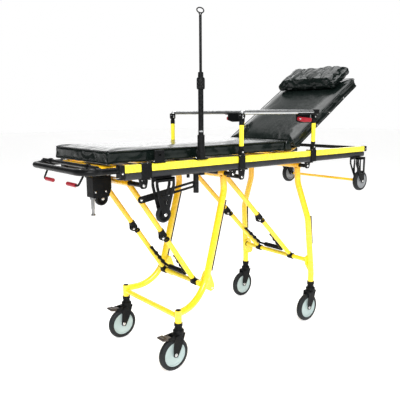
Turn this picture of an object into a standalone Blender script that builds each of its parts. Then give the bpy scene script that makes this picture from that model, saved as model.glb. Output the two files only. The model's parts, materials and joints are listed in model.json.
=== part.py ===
"""Folding ambulance stretcher trolley with a raised backrest.

X runs from the foot end towards the head end, Y to the left of someone who stands at the foot end
and looks along the trolley, and Z up from the floor. All sizes are in metres. Every X below is
measured from the foot end of the side rails, and main() then moves the middle of the whole length
to X zero.
Run it with: blender --background --python part.py
"""
import math

import bmesh
import bpy
from mathutils import Matrix, Vector

# ---- Driving dimensions ------------------------------------------------------------------------
GAP = 0.0005                  # air between neighbouring pieces
RUNNING = 0.0008              # radial air in a pivot
SIDES = {"right": -1, "left": 1}

RAIL_LENGTH = 1.667
HEAD_END = RAIL_LENGTH + 0.026
RAIL_Y = 0.256                # middle of a side rail
RAIL_WIDTH = 0.030
RAIL_TOP = 0.969
STRIPE_HEIGHT = 0.031         # flat upper tube
TRACK_HEIGHT = 0.030          # round-edged lower tube
RAIL_BOTTOM = RAIL_TOP - STRIPE_HEIGHT - TRACK_HEIGHT

LOOP_X = -0.173               # foot loop, middle of its outer bar
LOOP_Z = 0.950
LOOP_BEND = 0.065
LOOP_R = 0.013
MIDDLE_X = (LOOP_X - LOOP_R + HEAD_END) / 2
INNER_BAR_X = -0.112          # thin bar that carries the release levers
INNER_BAR_Z = 0.966
INNER_BAR_R = 0.008

DECK_Z = 0.955                # level of the deck tubes and of the backrest hinge
DECK_Y = 0.222
DECK_R = 0.0115
DECK_FOOT_X = -0.048
HINGE_X = 1.066
PAD_Y = 0.250
PAD_BOTTOM = 0.9745
PAD_TOP = 1.033
PAD_FOOT_X = -0.062
PAD_HEAD_X = 0.990

BACK_ANGLE = math.radians(32.6)
BACK_LENGTH = 0.655
BACK_PAD_N = (0.0195, 0.078)  # underside and top of the backrest pad, square to the backrest
PILLOW_S = (0.512, 0.705)     # pillow, measured up the backrest
PILLOW_Y = 0.212
PILLOW_N = (0.0795, 0.148)

LEG_R = 0.0165
BRACE_R = 0.0125
BRACE_Y = 0.126               # plane of the braces
KNEE_OFFSET = 0.0145          # the knee pin sits this far below the line of the tubes
AXLE_R = 0.0105
PIVOT_Z = 0.885
REAR_LEG_X = 0.603
FRONT_LEG_X = 1.160
REAR_BRACE = {"top": (0.100, 0.878), "knee": (0.272, 0.605), "foot": (0.465, 0.353)}
FRONT_BRACE = {"top": (0.662, 0.867), "knee": (0.912, 0.600), "foot": (1.188, 0.348)}
REAR_CROSS_Y = 0.1500         # half length of the rear cross tube
FRONT_CROSS_Y = 0.2375
STUB_BOTTOM = 0.2075
REAR_STUB = (0.283, 0.228)    # swivel axis of a foot-end caster: X and half spacing
FRONT_STUB = (1.203, 0.262)

CASTER_R = 0.078
CASTER_WIDTH = 0.030
CASTER_TRAIL = 0.030
LOAD_WHEEL = {"x": 1.627, "y": 0.275, "z": 0.766, "r": 0.060, "w": 0.030}
FOOT_WHEEL = {"x": 0.181, "y": 0.269, "z": 0.750, "r": 0.036, "w": 0.022}

GUARD_Y = 0.270
GUARD_X = (0.637, 1.174)      # foot-side and head-side posts
GUARD_BASE_Z = 0.990
GUARD_TOP_Z = 1.150
GUARD_RAIL_Z = 1.174
GUARD_R = 0.011
CHEEK = (0.0058, 0.0105)      # a fork's cheek, from and to, off its middle plane
TONGUE = 0.005                # half thickness of the tongue between two cheeks
EAR_R = 0.012
PIN_R = 0.0038

POLE_X = 0.390
POLE_Y = -0.270
STRUT_BASE = (1.100, 0.888)
STRUT_TOP = (0.160, -0.020)   # along and square to the backrest

# ---- Materials ---------------------------------------------------------------------------------
FINISHES = {
    "yellow_paint": ((0.92, 0.72, 0.03), 0.30, 0.0),
    "black_plastic": ((0.02, 0.022, 0.024), 0.45, 0.0),
    "black_vinyl": ((0.012, 0.018, 0.017), 0.28, 0.0),
    "black_steel": ((0.025, 0.025, 0.028), 0.40, 0.3),
    "silver": ((0.72, 0.72, 0.72), 0.28, 0.9),
    "red_plastic": ((0.55, 0.02, 0.04), 0.40, 0.0),
    "caster_wheel": ((0.10, 0.11, 0.12), 0.55, 0.0),
}


def material(finish, name):
    """One Principled material for each object, in one of the named finishes."""
    color, roughness, metallic = FINISHES[finish]
    mat = bpy.data.materials.new(name + "_" + finish)
    mat.use_nodes = True
    shader = mat.node_tree.nodes["Principled BSDF"]
    shader.inputs["Base Color"].default_value = (*color, 1.0)
    shader.inputs["Roughness"].default_value = roughness
    shader.inputs["Metallic"].default_value = metallic
    mat.diffuse_color = (*color, 1.0)
    return mat


# ---- Outlines and paths ------------------------------------------------------------------------
def arc_between(before, corner, after, radius, step):
    """Points of the arc that rounds one corner of a path."""
    to_before = (before - corner).normalized()
    to_after = (after - corner).normalized()
    half = to_before.angle(to_after) / 2
    centre = corner + (to_before + to_after).normalized() * (radius / math.sin(half))
    spoke = corner + to_before * (radius / math.tan(half)) - centre
    turn = math.pi - 2 * half
    count = max(1, math.ceil(turn / step))
    axis = spoke.cross(corner + to_after * (radius / math.tan(half)) - centre)
    return [centre + Matrix.Rotation(turn * i / count, 3, axis) @ spoke for i in range(count + 1)]


def bent_path(corners, radii, step=math.radians(24)):
    """An open path in space, rounded at each inner corner."""
    points = [Vector(corner) for corner in corners]
    path = [points[0]]
    for i, radius in enumerate(radii, start=1):
        path += arc_between(points[i - 1], points[i], points[i + 1], radius, step)
    path.append(points[-1])
    return path


def rounded(corners, radius, step=math.radians(45)):
    """A closed flat outline with every corner rounded. radius is one size, or one for each corner."""
    points = [Vector((u, v, 0)) for u, v in corners]
    radii = radius if isinstance(radius, (list, tuple)) else [radius] * len(points)
    outline = []
    for i, corner_radius in enumerate(radii):
        before, corner, after = points[i - 1], points[i], points[(i + 1) % len(points)]
        if corner_radius:
            outline += arc_between(before, corner, after, corner_radius, step)
        else:
            outline.append(corner)
    return [(p.x, p.y) for p in outline]


def rectangle(centre, size, radius, step=math.radians(45)):
    (u, v), (width, height) = centre, size
    corners = [(u - width / 2, v - height / 2), (u + width / 2, v - height / 2),
               (u + width / 2, v + height / 2), (u - width / 2, v + height / 2)]
    return rounded(corners, radius, step)


def ear(centre, end, radius, steps=6):
    """Outline of a plate that reaches from a straight edge at end to a round nose about centre."""
    (cu, cv), (eu, ev) = centre, end
    along = math.atan2(ev - cv, eu - cu)
    nose = [(cu + radius * math.cos(along + math.pi / 2 + math.pi * i / steps),
             cv + radius * math.sin(along + math.pi / 2 + math.pi * i / steps))
            for i in range(steps + 1)]
    side_u = radius * math.cos(along + math.pi / 2)
    side_v = radius * math.sin(along + math.pi / 2)
    return nose + [(eu - side_u, ev - side_v), (eu + side_u, ev + side_v)]


# ---- Solids ------------------------------------------------------------------------------------
def solid(bm):
    """Turn a bmesh into a loose object that a weld can use up."""
    bmesh.ops.recalc_face_normals(bm, faces=bm.faces)
    mesh = bpy.data.meshes.new("solid")
    bm.to_mesh(mesh)
    bm.free()
    obj = bpy.data.objects.new("solid", mesh)
    bpy.context.scene.collection.objects.link(obj)
    return obj


def sweep(path, radius, sides=14, closed=False):
    """A round bar along a path. The section stays square to the path and doesn't twist."""
    points = [Vector(p) for p in path]
    count = len(points)
    tangents = []
    for i in range(count):
        after = points[(i + 1) % count] if closed or i + 1 < count else points[i]
        before = points[i - 1] if closed or i > 0 else points[i]
        tangents.append((after - before).normalized())
    up = Vector((0, 0, 1)) if abs(tangents[0].z) < 0.9 else Vector((0, 1, 0))
    across = tangents[0].cross(up).normalized()
    bm = bmesh.new()
    rings = []
    for point, tangent in zip(points, tangents):
        across = (across - tangent * across.dot(tangent)).normalized()
        other = tangent.cross(across)
        angles = [2 * math.pi * k / sides for k in range(sides)]
        rings.append([bm.verts.new(point + radius * (math.cos(a) * across + math.sin(a) * other))
                      for a in angles])
    pairs = list(zip(rings, rings[1:]))
    if closed:
        pairs.append((rings[-1], rings[0]))
    for ring, following in pairs:
        for k in range(sides):
            nxt = (k + 1) % sides
            bm.faces.new((ring[k], ring[nxt], following[nxt], following[k]))
    if not closed:
        bm.faces.new(rings[0])
        bm.faces.new(rings[-1])
    return solid(bm)


def rod(start, end, radius, sides=12):
    return sweep([start, end], radius, sides)


def cross_rod(x, z, y_from, y_to, radius, sides=12):
    return rod((x, y_from, z), (x, y_to, z), radius, sides)


def prism(outline, plane, start, end):
    """Extrude a flat outline. plane names its two axes; start and end lie on the third."""
    place = {"XZ": lambda u, v, w: (u, w, v), "YZ": lambda u, v, w: (w, u, v),
             "XY": lambda u, v, w: (u, v, w)}[plane]
    bm = bmesh.new()
    near = [bm.verts.new(place(u, v, start)) for u, v in outline]
    far = [bm.verts.new(place(u, v, end)) for u, v in outline]
    bm.faces.new(near)
    bm.faces.new(far)
    for i in range(len(outline)):
        j = (i + 1) % len(outline)
        bm.faces.new((near[i], near[j], far[j], far[i]))
    return solid(bm)


def box(low, high, bevel=0.0):
    """A box between two corners, with its edges bevelled."""
    bm = bmesh.new()
    bmesh.ops.create_cube(bm, size=1.0)
    low, high = Vector(map(min, low, high)), Vector(map(max, low, high))
    for vert in bm.verts:
        vert.co = Vector(((vert.co[k] + 0.5) * (high[k] - low[k]) + low[k] for k in range(3)))
    if bevel:
        bmesh.ops.bevel(bm, geom=bm.edges[:], offset=bevel, segments=1, affect="EDGES")
    return solid(bm)


def turned(profile, base, direction, sides=20):
    """A solid of revolution from (radius, height) pairs; a profile that starts and ends at radius
    zero closes on the axis, and any other is a ring."""
    axis = Vector(direction).normalized()
    turn = Vector((0, 0, 1)).rotation_difference(axis)
    ring_shape = profile[0][0] > 0
    bm = bmesh.new()
    rings = []
    for radius, height in profile:
        if radius == 0:
            rings.append([bm.verts.new(Vector(base) + turn @ Vector((0, 0, height)))])
            continue
        angles = [2 * math.pi * k / sides for k in range(sides)]
        rings.append([bm.verts.new(Vector(base) + turn @ Vector((radius * math.cos(a),
                                                                 radius * math.sin(a), height)))
                      for a in angles])
    pairs = list(zip(rings, rings[1:]))
    if ring_shape:
        pairs.append((rings[-1], rings[0]))
    for ring, following in pairs:
        for k in range(sides):
            nxt = (k + 1) % sides
            if len(ring) == 1:
                bm.faces.new((ring[0], following[k], following[nxt]))
            elif len(following) == 1:
                bm.faces.new((ring[k], ring[nxt], following[0]))
            else:
                bm.faces.new((ring[k], ring[nxt], following[nxt], following[k]))
    return solid(bm)


def boolean(base, others, operation):
    """Apply a chain of Boolean modifiers and use the other solids up."""
    for other in others:
        modifier = base.modifiers.new(operation.lower(), "BOOLEAN")
        modifier.object = other
        modifier.operation = operation
        modifier.solver = "EXACT"
    graph = bpy.context.evaluated_depsgraph_get()
    mesh = bpy.data.meshes.new_from_object(base.evaluated_get(graph))
    base.modifiers.clear()
    base.data = mesh
    for other in others:
        bpy.data.objects.remove(other)


def merge_flat_faces(mesh):
    """Join the slivers that a weld leaves on flat faces, where the body stays closed without them."""
    bm = bmesh.new()
    bm.from_mesh(mesh)
    volume = bm.calc_volume()
    bmesh.ops.remove_doubles(bm, verts=bm.verts, dist=0.00002)
    bmesh.ops.dissolve_limit(bm, angle_limit=math.radians(0.3), verts=bm.verts, edges=bm.edges)
    check = bm.copy()
    bmesh.ops.triangulate(check, faces=check.faces)
    closed = all(edge.is_manifold for edge in check.edges)
    if closed and abs(check.calc_volume() - volume) < 0.01 * volume:
        bm.to_mesh(mesh)
    check.free()
    bm.free()


def piece(name, finish, solids, cuts=(), pivot=(0, 0, 0)):
    """Weld solids into one named piece, cut it, and put its origin on its pivot."""
    base, *others = solids
    if others:
        boolean(base, others, "UNION")
    if cuts:
        boolean(base, list(cuts), "DIFFERENCE")
    merge_flat_faces(base.data)
    base.name = name
    base.data.name = name
    base.data.transform(Matrix.Translation(-Vector(pivot)))
    base.location = pivot
    base.data.materials.clear()
    base.data.materials.append(material(finish, name))
    base.data.shade_smooth()
    base.data.set_sharp_from_angle(angle=math.radians(35))
    return base


def hang(child, parent):
    """Parent a piece to the one that carries it, without moving it."""
    bpy.context.view_layer.update()
    child.parent = parent
    child.matrix_parent_inverse = parent.matrix_world.inverted()


def fork_cheeks(outline, y, side=1):
    """Two equal plates on either side of a middle plane."""
    return [prism(outline, "XZ", y + s * CHEEK[0], y + s * CHEEK[1]) for s in (-1, 1)]


def pivot_pin(x, z, y, radius=PIN_R):
    """A pin across a fork, with its ends standing out of the cheeks."""
    return cross_rod(x, z, y - CHEEK[1] - 0.003, y + CHEEK[1] + 0.003, radius, 10)


# ---- Chassis -----------------------------------------------------------------------------------
def side_rail(name, side):
    """Flat upper tube on a round-edged lower tube, with the foot clamp and the guard-rail feet."""
    y = side * RAIL_Y
    stripe = prism(rectangle((y, RAIL_TOP - STRIPE_HEIGHT / 2), (RAIL_WIDTH, STRIPE_HEIGHT), 0.004),
                   "YZ", 0, RAIL_LENGTH)
    track = prism(rectangle((y, RAIL_BOTTOM + TRACK_HEIGHT / 2 + 0.0005),
                            (RAIL_WIDTH + 0.002, TRACK_HEIGHT + 0.001), 0.011),
                  "YZ", 0.001, RAIL_LENGTH - 0.001)
    low, high = RAIL_BOTTOM + 0.0015, RAIL_TOP + 0.0035
    solids = [stripe, track, box((0.076, side * 0.2375, low), (0.127, side * 0.2745, high), 0.003)]
    for x in GUARD_X:
        solids.append(box((x - 0.019, side * 0.2375, low), (x + 0.019, side * 0.2815, high), 0.003))
        solids += fork_cheeks(ear((x, GUARD_BASE_Z), (x, high - 0.002), EAR_R), side * GUARD_Y)
        solids.append(pivot_pin(x, GUARD_BASE_Z, side * GUARD_Y))
    return piece(name, "yellow_paint", solids)


def foot_loop():
    """U-shaped carrying bar at the foot end, with the thin inner bar and two end collars."""
    corners = [(-GAP, -RAIL_Y, LOOP_Z), (LOOP_X, -RAIL_Y, LOOP_Z), (LOOP_X, RAIL_Y, LOOP_Z),
               (-GAP, RAIL_Y, LOOP_Z)]
    solids = [sweep(bent_path(corners, [LOOP_BEND, LOOP_BEND]), LOOP_R)]
    solids.append(cross_rod(INNER_BAR_X, INNER_BAR_Z, -RAIL_Y, RAIL_Y, INNER_BAR_R))
    for side in SIDES.values():
        solids.append(box((-0.024, side * 0.2375, RAIL_BOTTOM + 0.004),
                          (-GAP, side * 0.2735, RAIL_TOP + 0.002), 0.004))
    return piece("foot_loop", "black_plastic", solids)


def head_bar():
    """Cross bar that closes the head end of the side rails."""
    x = RAIL_LENGTH + 0.014
    solids = [cross_rod(x, DECK_Z, -0.268, 0.268, 0.0105)]
    for side in SIDES.values():
        solids.append(box((RAIL_LENGTH + GAP, side * 0.240, RAIL_BOTTOM + 0.030),
                          (HEAD_END, side * 0.2715, RAIL_TOP + 0.001), 0.004))
    return piece("head_bar", "black_plastic", solids)


def deck_frame():
    """Yellow tube frame between the rails. Its head-end tube is the backrest's hinge axle, and carries
    the lugs of the gas strut."""
    corners = [(DECK_FOOT_X, -DECK_Y), (HINGE_X, -DECK_Y), (HINGE_X, DECK_Y), (DECK_FOOT_X, DECK_Y)]
    loop = [(x, y, DECK_Z) for x, y in rounded(corners, [0.060, 0.030, 0.030, 0.060])]
    solids = [sweep(loop, DECK_R, 12, closed=True)]
    for x in (0.022, 0.260, 0.500, 0.740, 0.960):
        solids.append(box((x - 0.026, -DECK_Y, DECK_Z + 0.0080), (x + 0.026, DECK_Y, DECK_Z + 0.0135)))
    for x in (0.200, 0.880):
        solids.append(cross_rod(x, DECK_Z, -0.2395, 0.2395, 0.007, 12))
    for side in SIDES.values():
        lug = ear(STRUT_BASE, (HINGE_X, DECK_Z), 0.010)
        solids.append(prism(lug, "XZ", *sorted((side * 0.0105, side * 0.0145))))
    solids.append(cross_rod(*STRUT_BASE, -0.0175, 0.0175, 0.004, 10))
    return piece("deck_frame", "yellow_paint", solids)


def flat_pad():
    return piece("flat_pad", "black_vinyl",
                 [box((PAD_FOOT_X, -PAD_Y, PAD_BOTTOM), (PAD_HEAD_X, PAD_Y, PAD_TOP), 0.012)])


def hanger(name, x, z):
    """Steel axle across the trolley, held by a plate under each rail."""
    top = RAIL_BOTTOM - GAP
    solids = [cross_rod(x, z, -0.247, 0.247, AXLE_R, 14)]
    for side in SIDES.values():
        outline = rounded([(x - 0.024, top), (x + 0.024, top), (x + 0.014, z - 0.014),
                           (x - 0.014, z - 0.014)], [0, 0, 0.010, 0.010])
        solids.append(prism(outline, "XZ", side * 0.2445, side * 0.2495))
        solids.append(box((x - 0.024, side * 0.2445, top - 0.005), (x + 0.024, side * 0.268, top)))
        solids.append(cross_rod(x, z, side * 0.249, side * 0.2545, 0.0065, 8))
    return piece(name, "black_steel", solids)


def wheel_plate(spec, top_half, window, thickness_plane):
    """One side plate of a fixed wheel's bracket: wide at the rail, round at the axle."""
    x, z = spec["x"], spec["z"]
    top = RAIL_BOTTOM - GAP
    outline = rounded([(x - top_half[0], top), (x - top_half[0], top - 0.035), (x - 0.013, z - 0.011),
                       (x + 0.013, z - 0.011), (x + top_half[1], top - 0.035), (x + top_half[1], top)],
                      [0, 0.008, 0.010, 0.010, 0.008, 0])
    plate = prism(outline, "XZ", *thickness_plane)
    cutter = prism(window, "XZ", thickness_plane[0] - 0.01, thickness_plane[1] + 0.01)
    boolean(plate, [cutter], "DIFFERENCE")
    return plate


def wheel_bracket(name, spec, side, top_half, window):
    """Bracket under a rail with a plate on each side of a fixed wheel, and the wheel's axle."""
    y, half = side * spec["y"], spec["w"] / 2
    top = RAIL_BOTTOM - GAP
    inner, outer = half + 0.0030, half + 0.0065
    solids = [box((spec["x"] - top_half[0], y - outer, top - 0.008),
                  (spec["x"] + top_half[1], y + outer, top))]
    for s in (-1, 1):
        planes = sorted((y + s * inner, y + s * outer))
        solids.append(wheel_plate(spec, top_half, window, planes))
        solids.append(cross_rod(spec["x"], spec["z"], y + s * (outer - 0.001), y + s * (outer + 0.004),
                                0.0075, 8))
    solids.append(cross_rod(spec["x"], spec["z"], y - outer, y + outer, 0.0045, 10))
    return piece(name, "black_steel", solids)


def fixed_wheel(name, spec, side):
    """Small wheel that only rolls: tyre, dished hub and a bore for its axle."""
    y, r, half = side * spec["y"], spec["r"], spec["w"] / 2
    bore = 0.0045 + RUNNING
    profile = [(bore, -half), (r * 0.64, -half * 0.70), (r * 0.74, -half * 0.96), (r, -half * 0.45)]
    profile += [(radius, -height) for radius, height in reversed(profile)]
    return piece(name, "caster_wheel", [turned(profile, (spec["x"], y, spec["z"]), (0, 1, 0), 20)],
                 pivot=(spec["x"], y, spec["z"]))


def load_wheel_axle():
    """Thin tube that ties the two loading-wheel brackets together."""
    reach = LOAD_WHEEL["y"] - LOAD_WHEEL["w"] / 2 - 0.0065 - 0.004 - GAP
    return piece("load_wheel_axle", "yellow_paint",
                 [cross_rod(LOAD_WHEEL["x"], LOAD_WHEEL["z"], -reach, reach, 0.008)])


def stay_arm():
    """Slotted arm and short post beside the right foot wheel, bolted up to the right rail."""
    y = -0.218
    foot, head = (0.105, 0.813), (0.402, 0.856)
    arm = prism(ear(foot, head, 0.0120), "XZ", y - 0.0035, y + 0.0035)
    slope = math.atan2(head[1] - foot[1], head[0] - foot[0])
    along = Vector((math.cos(slope), math.sin(slope)))
    start = Vector(foot) + along * 0.175
    end = Vector(foot) + along * 0.283
    half = Vector((-along.y, along.x)) * 0.0052
    slot = rounded([tuple(start - half), tuple(end - half), tuple(end + half), tuple(start + half)],
                   0.004)
    post_x = head[0]
    solids = [arm, rod((post_x, y, 0.814), (post_x, y, 0.902), 0.0125),
              cross_rod(*foot, y - 0.0075, y - 0.003, 0.0065, 8),
              box((post_x - 0.014, y - 0.046, 0.8985), (post_x + 0.014, y + 0.010, RAIL_BOTTOM - GAP))]
    cuts = [prism(slot, "XZ", y - 0.02, y + 0.02)]
    base, *others = solids
    boolean(base, cuts, "DIFFERENCE")
    return piece("stay_arm", "black_steel", [base, *others])


def lock_box():
    """Housing of the vehicle floor latch, hung from the first deck slat."""
    shell = prism(rounded([(-0.026, 0.904), (0.064, 0.904), (0.064, 0.850), (0.050, 0.812),
                           (-0.026, 0.812)], [0.004, 0.004, 0.012, 0.006, 0.004]),
                  "XZ", -0.046, 0.014)
    neck = box((-0.004, -0.034, 0.900), (0.048, 0.008, DECK_Z + 0.0080 - GAP))
    return piece("lock_box", "black_plastic", [shell, neck])


def lock_pin():
    """Turned steel stud under the latch housing that drops into a floor latch."""
    profile = [(0, 0.7270), (0.0100, 0.7270), (0.0100, 0.7330), (0.0065, 0.7370), (0.0065, 0.7560),
               (0.0078, 0.7580), (0.0078, 0.8000), (0.0120, 0.8010), (0.0120, 0.812 - GAP),
               (0, 0.812 - GAP)]
    return piece("lock_pin", "silver", [turned(profile, (-0.006, 0, 0), (0, 0, 1), 12)])


def pole_socket():
    """Socket of the drip pole, bolted on the right rail."""
    foot = box((POLE_X - 0.030, POLE_Y - 0.014, RAIL_TOP + GAP), (POLE_X + 0.030, POLE_Y + 0.0175, 0.977),
               0.0015)
    body = rod((POLE_X, POLE_Y, 0.973), (POLE_X, POLE_Y, 1.078), 0.0160, 16)
    web = box((POLE_X - 0.017, POLE_Y - 0.009, 0.975), (POLE_X + 0.017, POLE_Y + 0.009, 1.015), 0.002)
    bolts = [rod((POLE_X + dx, POLE_Y + 0.006, 0.976), (POLE_X + dx, POLE_Y + 0.006, 0.981), 0.0050, 8)
             for dx in (-0.0235, 0.0235)]
    bore = rod((POLE_X, POLE_Y, 0.984), (POLE_X, POLE_Y, 1.090), 0.0126, 16)
    return piece("pole_socket", "black_plastic", [foot, body, web, *bolts], [bore])


def pole_outer_tube():
    """Lower tube of the drip pole, open at the top for the rod."""
    tube = rod((POLE_X, POLE_Y, 0.985), (POLE_X, POLE_Y, 1.300), 0.0117, 16)
    bore = rod((POLE_X, POLE_Y, 0.992), (POLE_X, POLE_Y, 1.310), 0.0080, 16)
    return piece("pole_outer_tube", "black_steel", [tube], [bore])


def spare_bracket():
    """Empty accessory bracket on the right rail."""
    x = 0.165
    foot = box((x - 0.030, POLE_Y - 0.006, RAIL_TOP + GAP), (x + 0.030, POLE_Y + 0.0175, 0.976), 0.0015)
    upright = box((x - 0.024, POLE_Y - 0.006, 0.974), (x + 0.024, POLE_Y + 0.004, 1.022), 0.002)
    bolts = [rod((x + dx, POLE_Y + 0.010, 0.975), (x + dx, POLE_Y + 0.010, 0.980), 0.0050, 8)
             for dx in (-0.019, 0.019)]
    hole = cross_rod(x, 1.002, POLE_Y - 0.03, POLE_Y + 0.03, 0.0065, 10)
    return piece("spare_bracket", "black_plastic", [foot, upright, *bolts], [hole])


# ---- Backrest ----------------------------------------------------------------------------------
def on_back(s, y, n):
    """A point s up the backrest and n square to it, at its rest angle."""
    return Vector((HINGE_X + s * math.cos(BACK_ANGLE) - n * math.sin(BACK_ANGLE), y,
                   DECK_Z + s * math.sin(BACK_ANGLE) + n * math.cos(BACK_ANGLE)))


def tilt(obj):
    """Move a solid modelled flat, with the hinge at the origin, to the backrest's rest angle."""
    matrix = Matrix.Translation((HINGE_X, 0, DECK_Z)) @ Matrix.Rotation(-BACK_ANGLE, 4, "Y")
    obj.data.transform(matrix)
    return obj


def backrest_frame():
    corners = [(0, -0.165, 0), (0.060, -0.190, 0), (0.628, -0.190, 0), (0.628, 0.190, 0),
               (0.060, 0.190, 0), (0, 0.165, 0)]
    solids = [sweep(bent_path(corners, [0.05, 0.06, 0.06, 0.05]), 0.0110, 12)]
    for side in SIDES.values():
        solids.append(cross_rod(0, 0, side * 0.150, side * 0.180, 0.0180, 16))
    for s in (0.160, 0.310, 0.460, 0.590):
        solids.append(box((s - 0.030, -0.188, 0.0085), (s + 0.030, 0.188, 0.0140)))
    for side in (-1, 1):
        solids.append(prism(ear(STRUT_TOP, (STRUT_TOP[0], 0.010), 0.011), "XZ",
                            side * 0.0095, side * 0.0135))
        solids.append(cross_rod(*STRUT_TOP, side * 0.0130, side * 0.0170, 0.0065, 8))
    bores = [cross_rod(0, 0, side * 0.140, side * 0.195, DECK_R + RUNNING, 16)
             for side in SIDES.values()]
    frame = piece("backrest_frame", "yellow_paint", [tilt(s) for s in solids],
                  [tilt(b) for b in bores], pivot=(HINGE_X, 0, DECK_Z))
    return frame


def backrest_pad():
    low, high = BACK_PAD_N
    pad = box((0.012, -PAD_Y, low), (BACK_LENGTH, PAD_Y, high), 0.012)
    return piece("backrest_pad", "black_vinyl", [tilt(pad)], pivot=(HINGE_X, 0, DECK_Z))


def pillow():
    low, high = PILLOW_N
    cushion = box((PILLOW_S[0], -PILLOW_Y, low), (PILLOW_S[1], PILLOW_Y, high), 0.020)
    return piece("pillow", "black_vinyl", [tilt(cushion)], pivot=(HINGE_X, 0, DECK_Z))


def strut_parts():
    """Gas strut under the backrest. Its top eye sits between the backrest's lugs."""
    base = Vector((STRUT_BASE[0], 0, STRUT_BASE[1]))
    top = on_back(STRUT_TOP[0], 0, STRUT_TOP[1])
    way = (top - base).normalized()
    barrel = rod(base + way * 0.007, base + way * 0.112, 0.0100, 14)
    eye = cross_rod(base.x, base.z, -0.0085, 0.0085, 0.0090, 14)
    cuts = [rod(base + way * 0.018, base + way * 0.120, 0.0056, 12),
            cross_rod(base.x, base.z, -0.02, 0.02, 0.004 + RUNNING, 12)]
    cylinder = piece("strut_cylinder", "black_steel", [barrel, eye], cuts, pivot=base)
    shaft = rod(base + way * 0.0600, top, 0.0045)
    head = cross_rod(top.x, top.z, -0.0075, 0.0075, 0.0080)
    return cylinder, piece("strut_rod", "silver", [shaft, head], pivot=base)


# ---- Guard rails -------------------------------------------------------------------------------
def guard_post(name, x, side):
    y = side * GUARD_Y
    tube_low, tube_high = GUARD_BASE_Z + 0.015, GUARD_TOP_Z - 0.015
    solids = [rod((x, y, tube_low), (x, y, tube_high), GUARD_R, 14),
              prism(ear((x, GUARD_BASE_Z), (x, tube_low + 0.004), 0.0095), "XZ", y - TONGUE, y + TONGUE),
              prism(ear((x, GUARD_TOP_Z), (x, tube_high - 0.004), 0.0095), "XZ", y - TONGUE, y + TONGUE)]
    cuts = [cross_rod(x, z, y - 0.02, y + 0.02, PIN_R + RUNNING, 12) for z in (GUARD_BASE_Z, GUARD_TOP_Z)]
    return piece(name, "yellow_paint", solids, cuts, pivot=(x, y, GUARD_BASE_Z))


def guard_rail(name, side):
    """Top rail with a fork over each post and a backplate for the release lever."""
    y = side * GUARD_Y
    first, second = GUARD_X
    solids = [rod((first - 0.008, y, GUARD_RAIL_Z), (second + 0.034, y, GUARD_RAIL_Z), 0.0115, 14)]
    for x, beyond in zip(GUARD_X, (0.015, 0.032)):
        solids += fork_cheeks(ear((x, GUARD_TOP_Z), (x, GUARD_RAIL_Z - 0.004), EAR_R), y)
        solids.append(box((x - 0.015, y - 0.0130, GUARD_TOP_Z + 0.0125),
                          (x + beyond, y + 0.0130, GUARD_RAIL_Z + 0.013), 0.003))
    solids.append(pivot_pin(first, GUARD_TOP_Z, y))
    plate = rounded([(1.040, 1.128), (1.075, 1.118), (1.150, 1.118), (1.156, 1.168), (1.040, 1.168)],
                    0.004)
    inboard = sorted((y - side * 0.0118, y - side * 0.0082))
    solids.append(prism(plate, "XZ", *inboard))
    solids.append(cross_rod(1.054, 1.140, y - side * 0.010, y + side * 0.010, 0.0035, 10))
    return piece(name, "silver", solids, pivot=(first, y, GUARD_TOP_Z))


def guard_lever(name, side):
    """Red squeeze lever under the head end of the guard rail."""
    y = side * GUARD_Y
    outline = rounded([(1.044, 1.150), (1.044, 1.130), (1.085, 1.122), (1.148, 1.122), (1.148, 1.142),
                       (1.085, 1.147)], [0.007, 0.007, 0.004, 0.006, 0.006, 0.004])
    blade = prism(outline, "XZ", y - 0.0075, y + 0.0075)
    bore = cross_rod(1.054, 1.140, y - 0.02, y + 0.02, 0.0035 + RUNNING, 12)
    return piece(name, "red_plastic", [blade], [bore], pivot=(1.054, y, 1.140))


# ---- Drip pole ---------------------------------------------------------------------------------
def pole_collar():
    """Twist collar that clamps the rod."""
    profile = [(0.0125, 1.2730), (0.0165, 1.2730), (0.0180, 1.2780), (0.0180, 1.3180), (0.0150, 1.3220),
               (0.0120, 1.3230), (0.0115, 1.3450), (0.0072, 1.3450), (0.0072, 1.3010), (0.0125, 1.3010)]
    return piece("pole_collar", "black_plastic", [turned(profile, (POLE_X, POLE_Y, 0), (0, 0, 1), 16)],
                 pivot=(POLE_X, POLE_Y, 1.300))


def pole_rod():
    """Sliding rod with a wire hook ring on a short fork."""
    solids = [rod((POLE_X, POLE_Y, 1.235), (POLE_X, POLE_Y, 1.578), 0.0060)]
    centre_z, half_width, half_height = 1.5985, 0.0190, 0.0105
    ring = [(POLE_X + half_width * math.cos(a), POLE_Y, centre_z + half_height * math.sin(a))
            for a in (2 * math.pi * k / 18 for k in range(18))]
    solids.append(sweep(ring, 0.0026, 6, closed=True))
    for side in (-1, 1):
        solids.append(rod((POLE_X, POLE_Y, 1.574), (POLE_X + side * 0.0090, POLE_Y, centre_z - 0.0090),
                          0.0026, 6))
    return piece("pole_rod", "black_steel", solids, pivot=(POLE_X, POLE_Y, 1.578))


# ---- Folding legs ------------------------------------------------------------------------------
def leg_sleeves(x):
    """The round heads of two legs, which turn on a hanger's axle."""
    return [cross_rod(x, PIVOT_Z, side * 0.158, side * 0.196, LEG_R, 14) for side in SIDES.values()]


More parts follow.
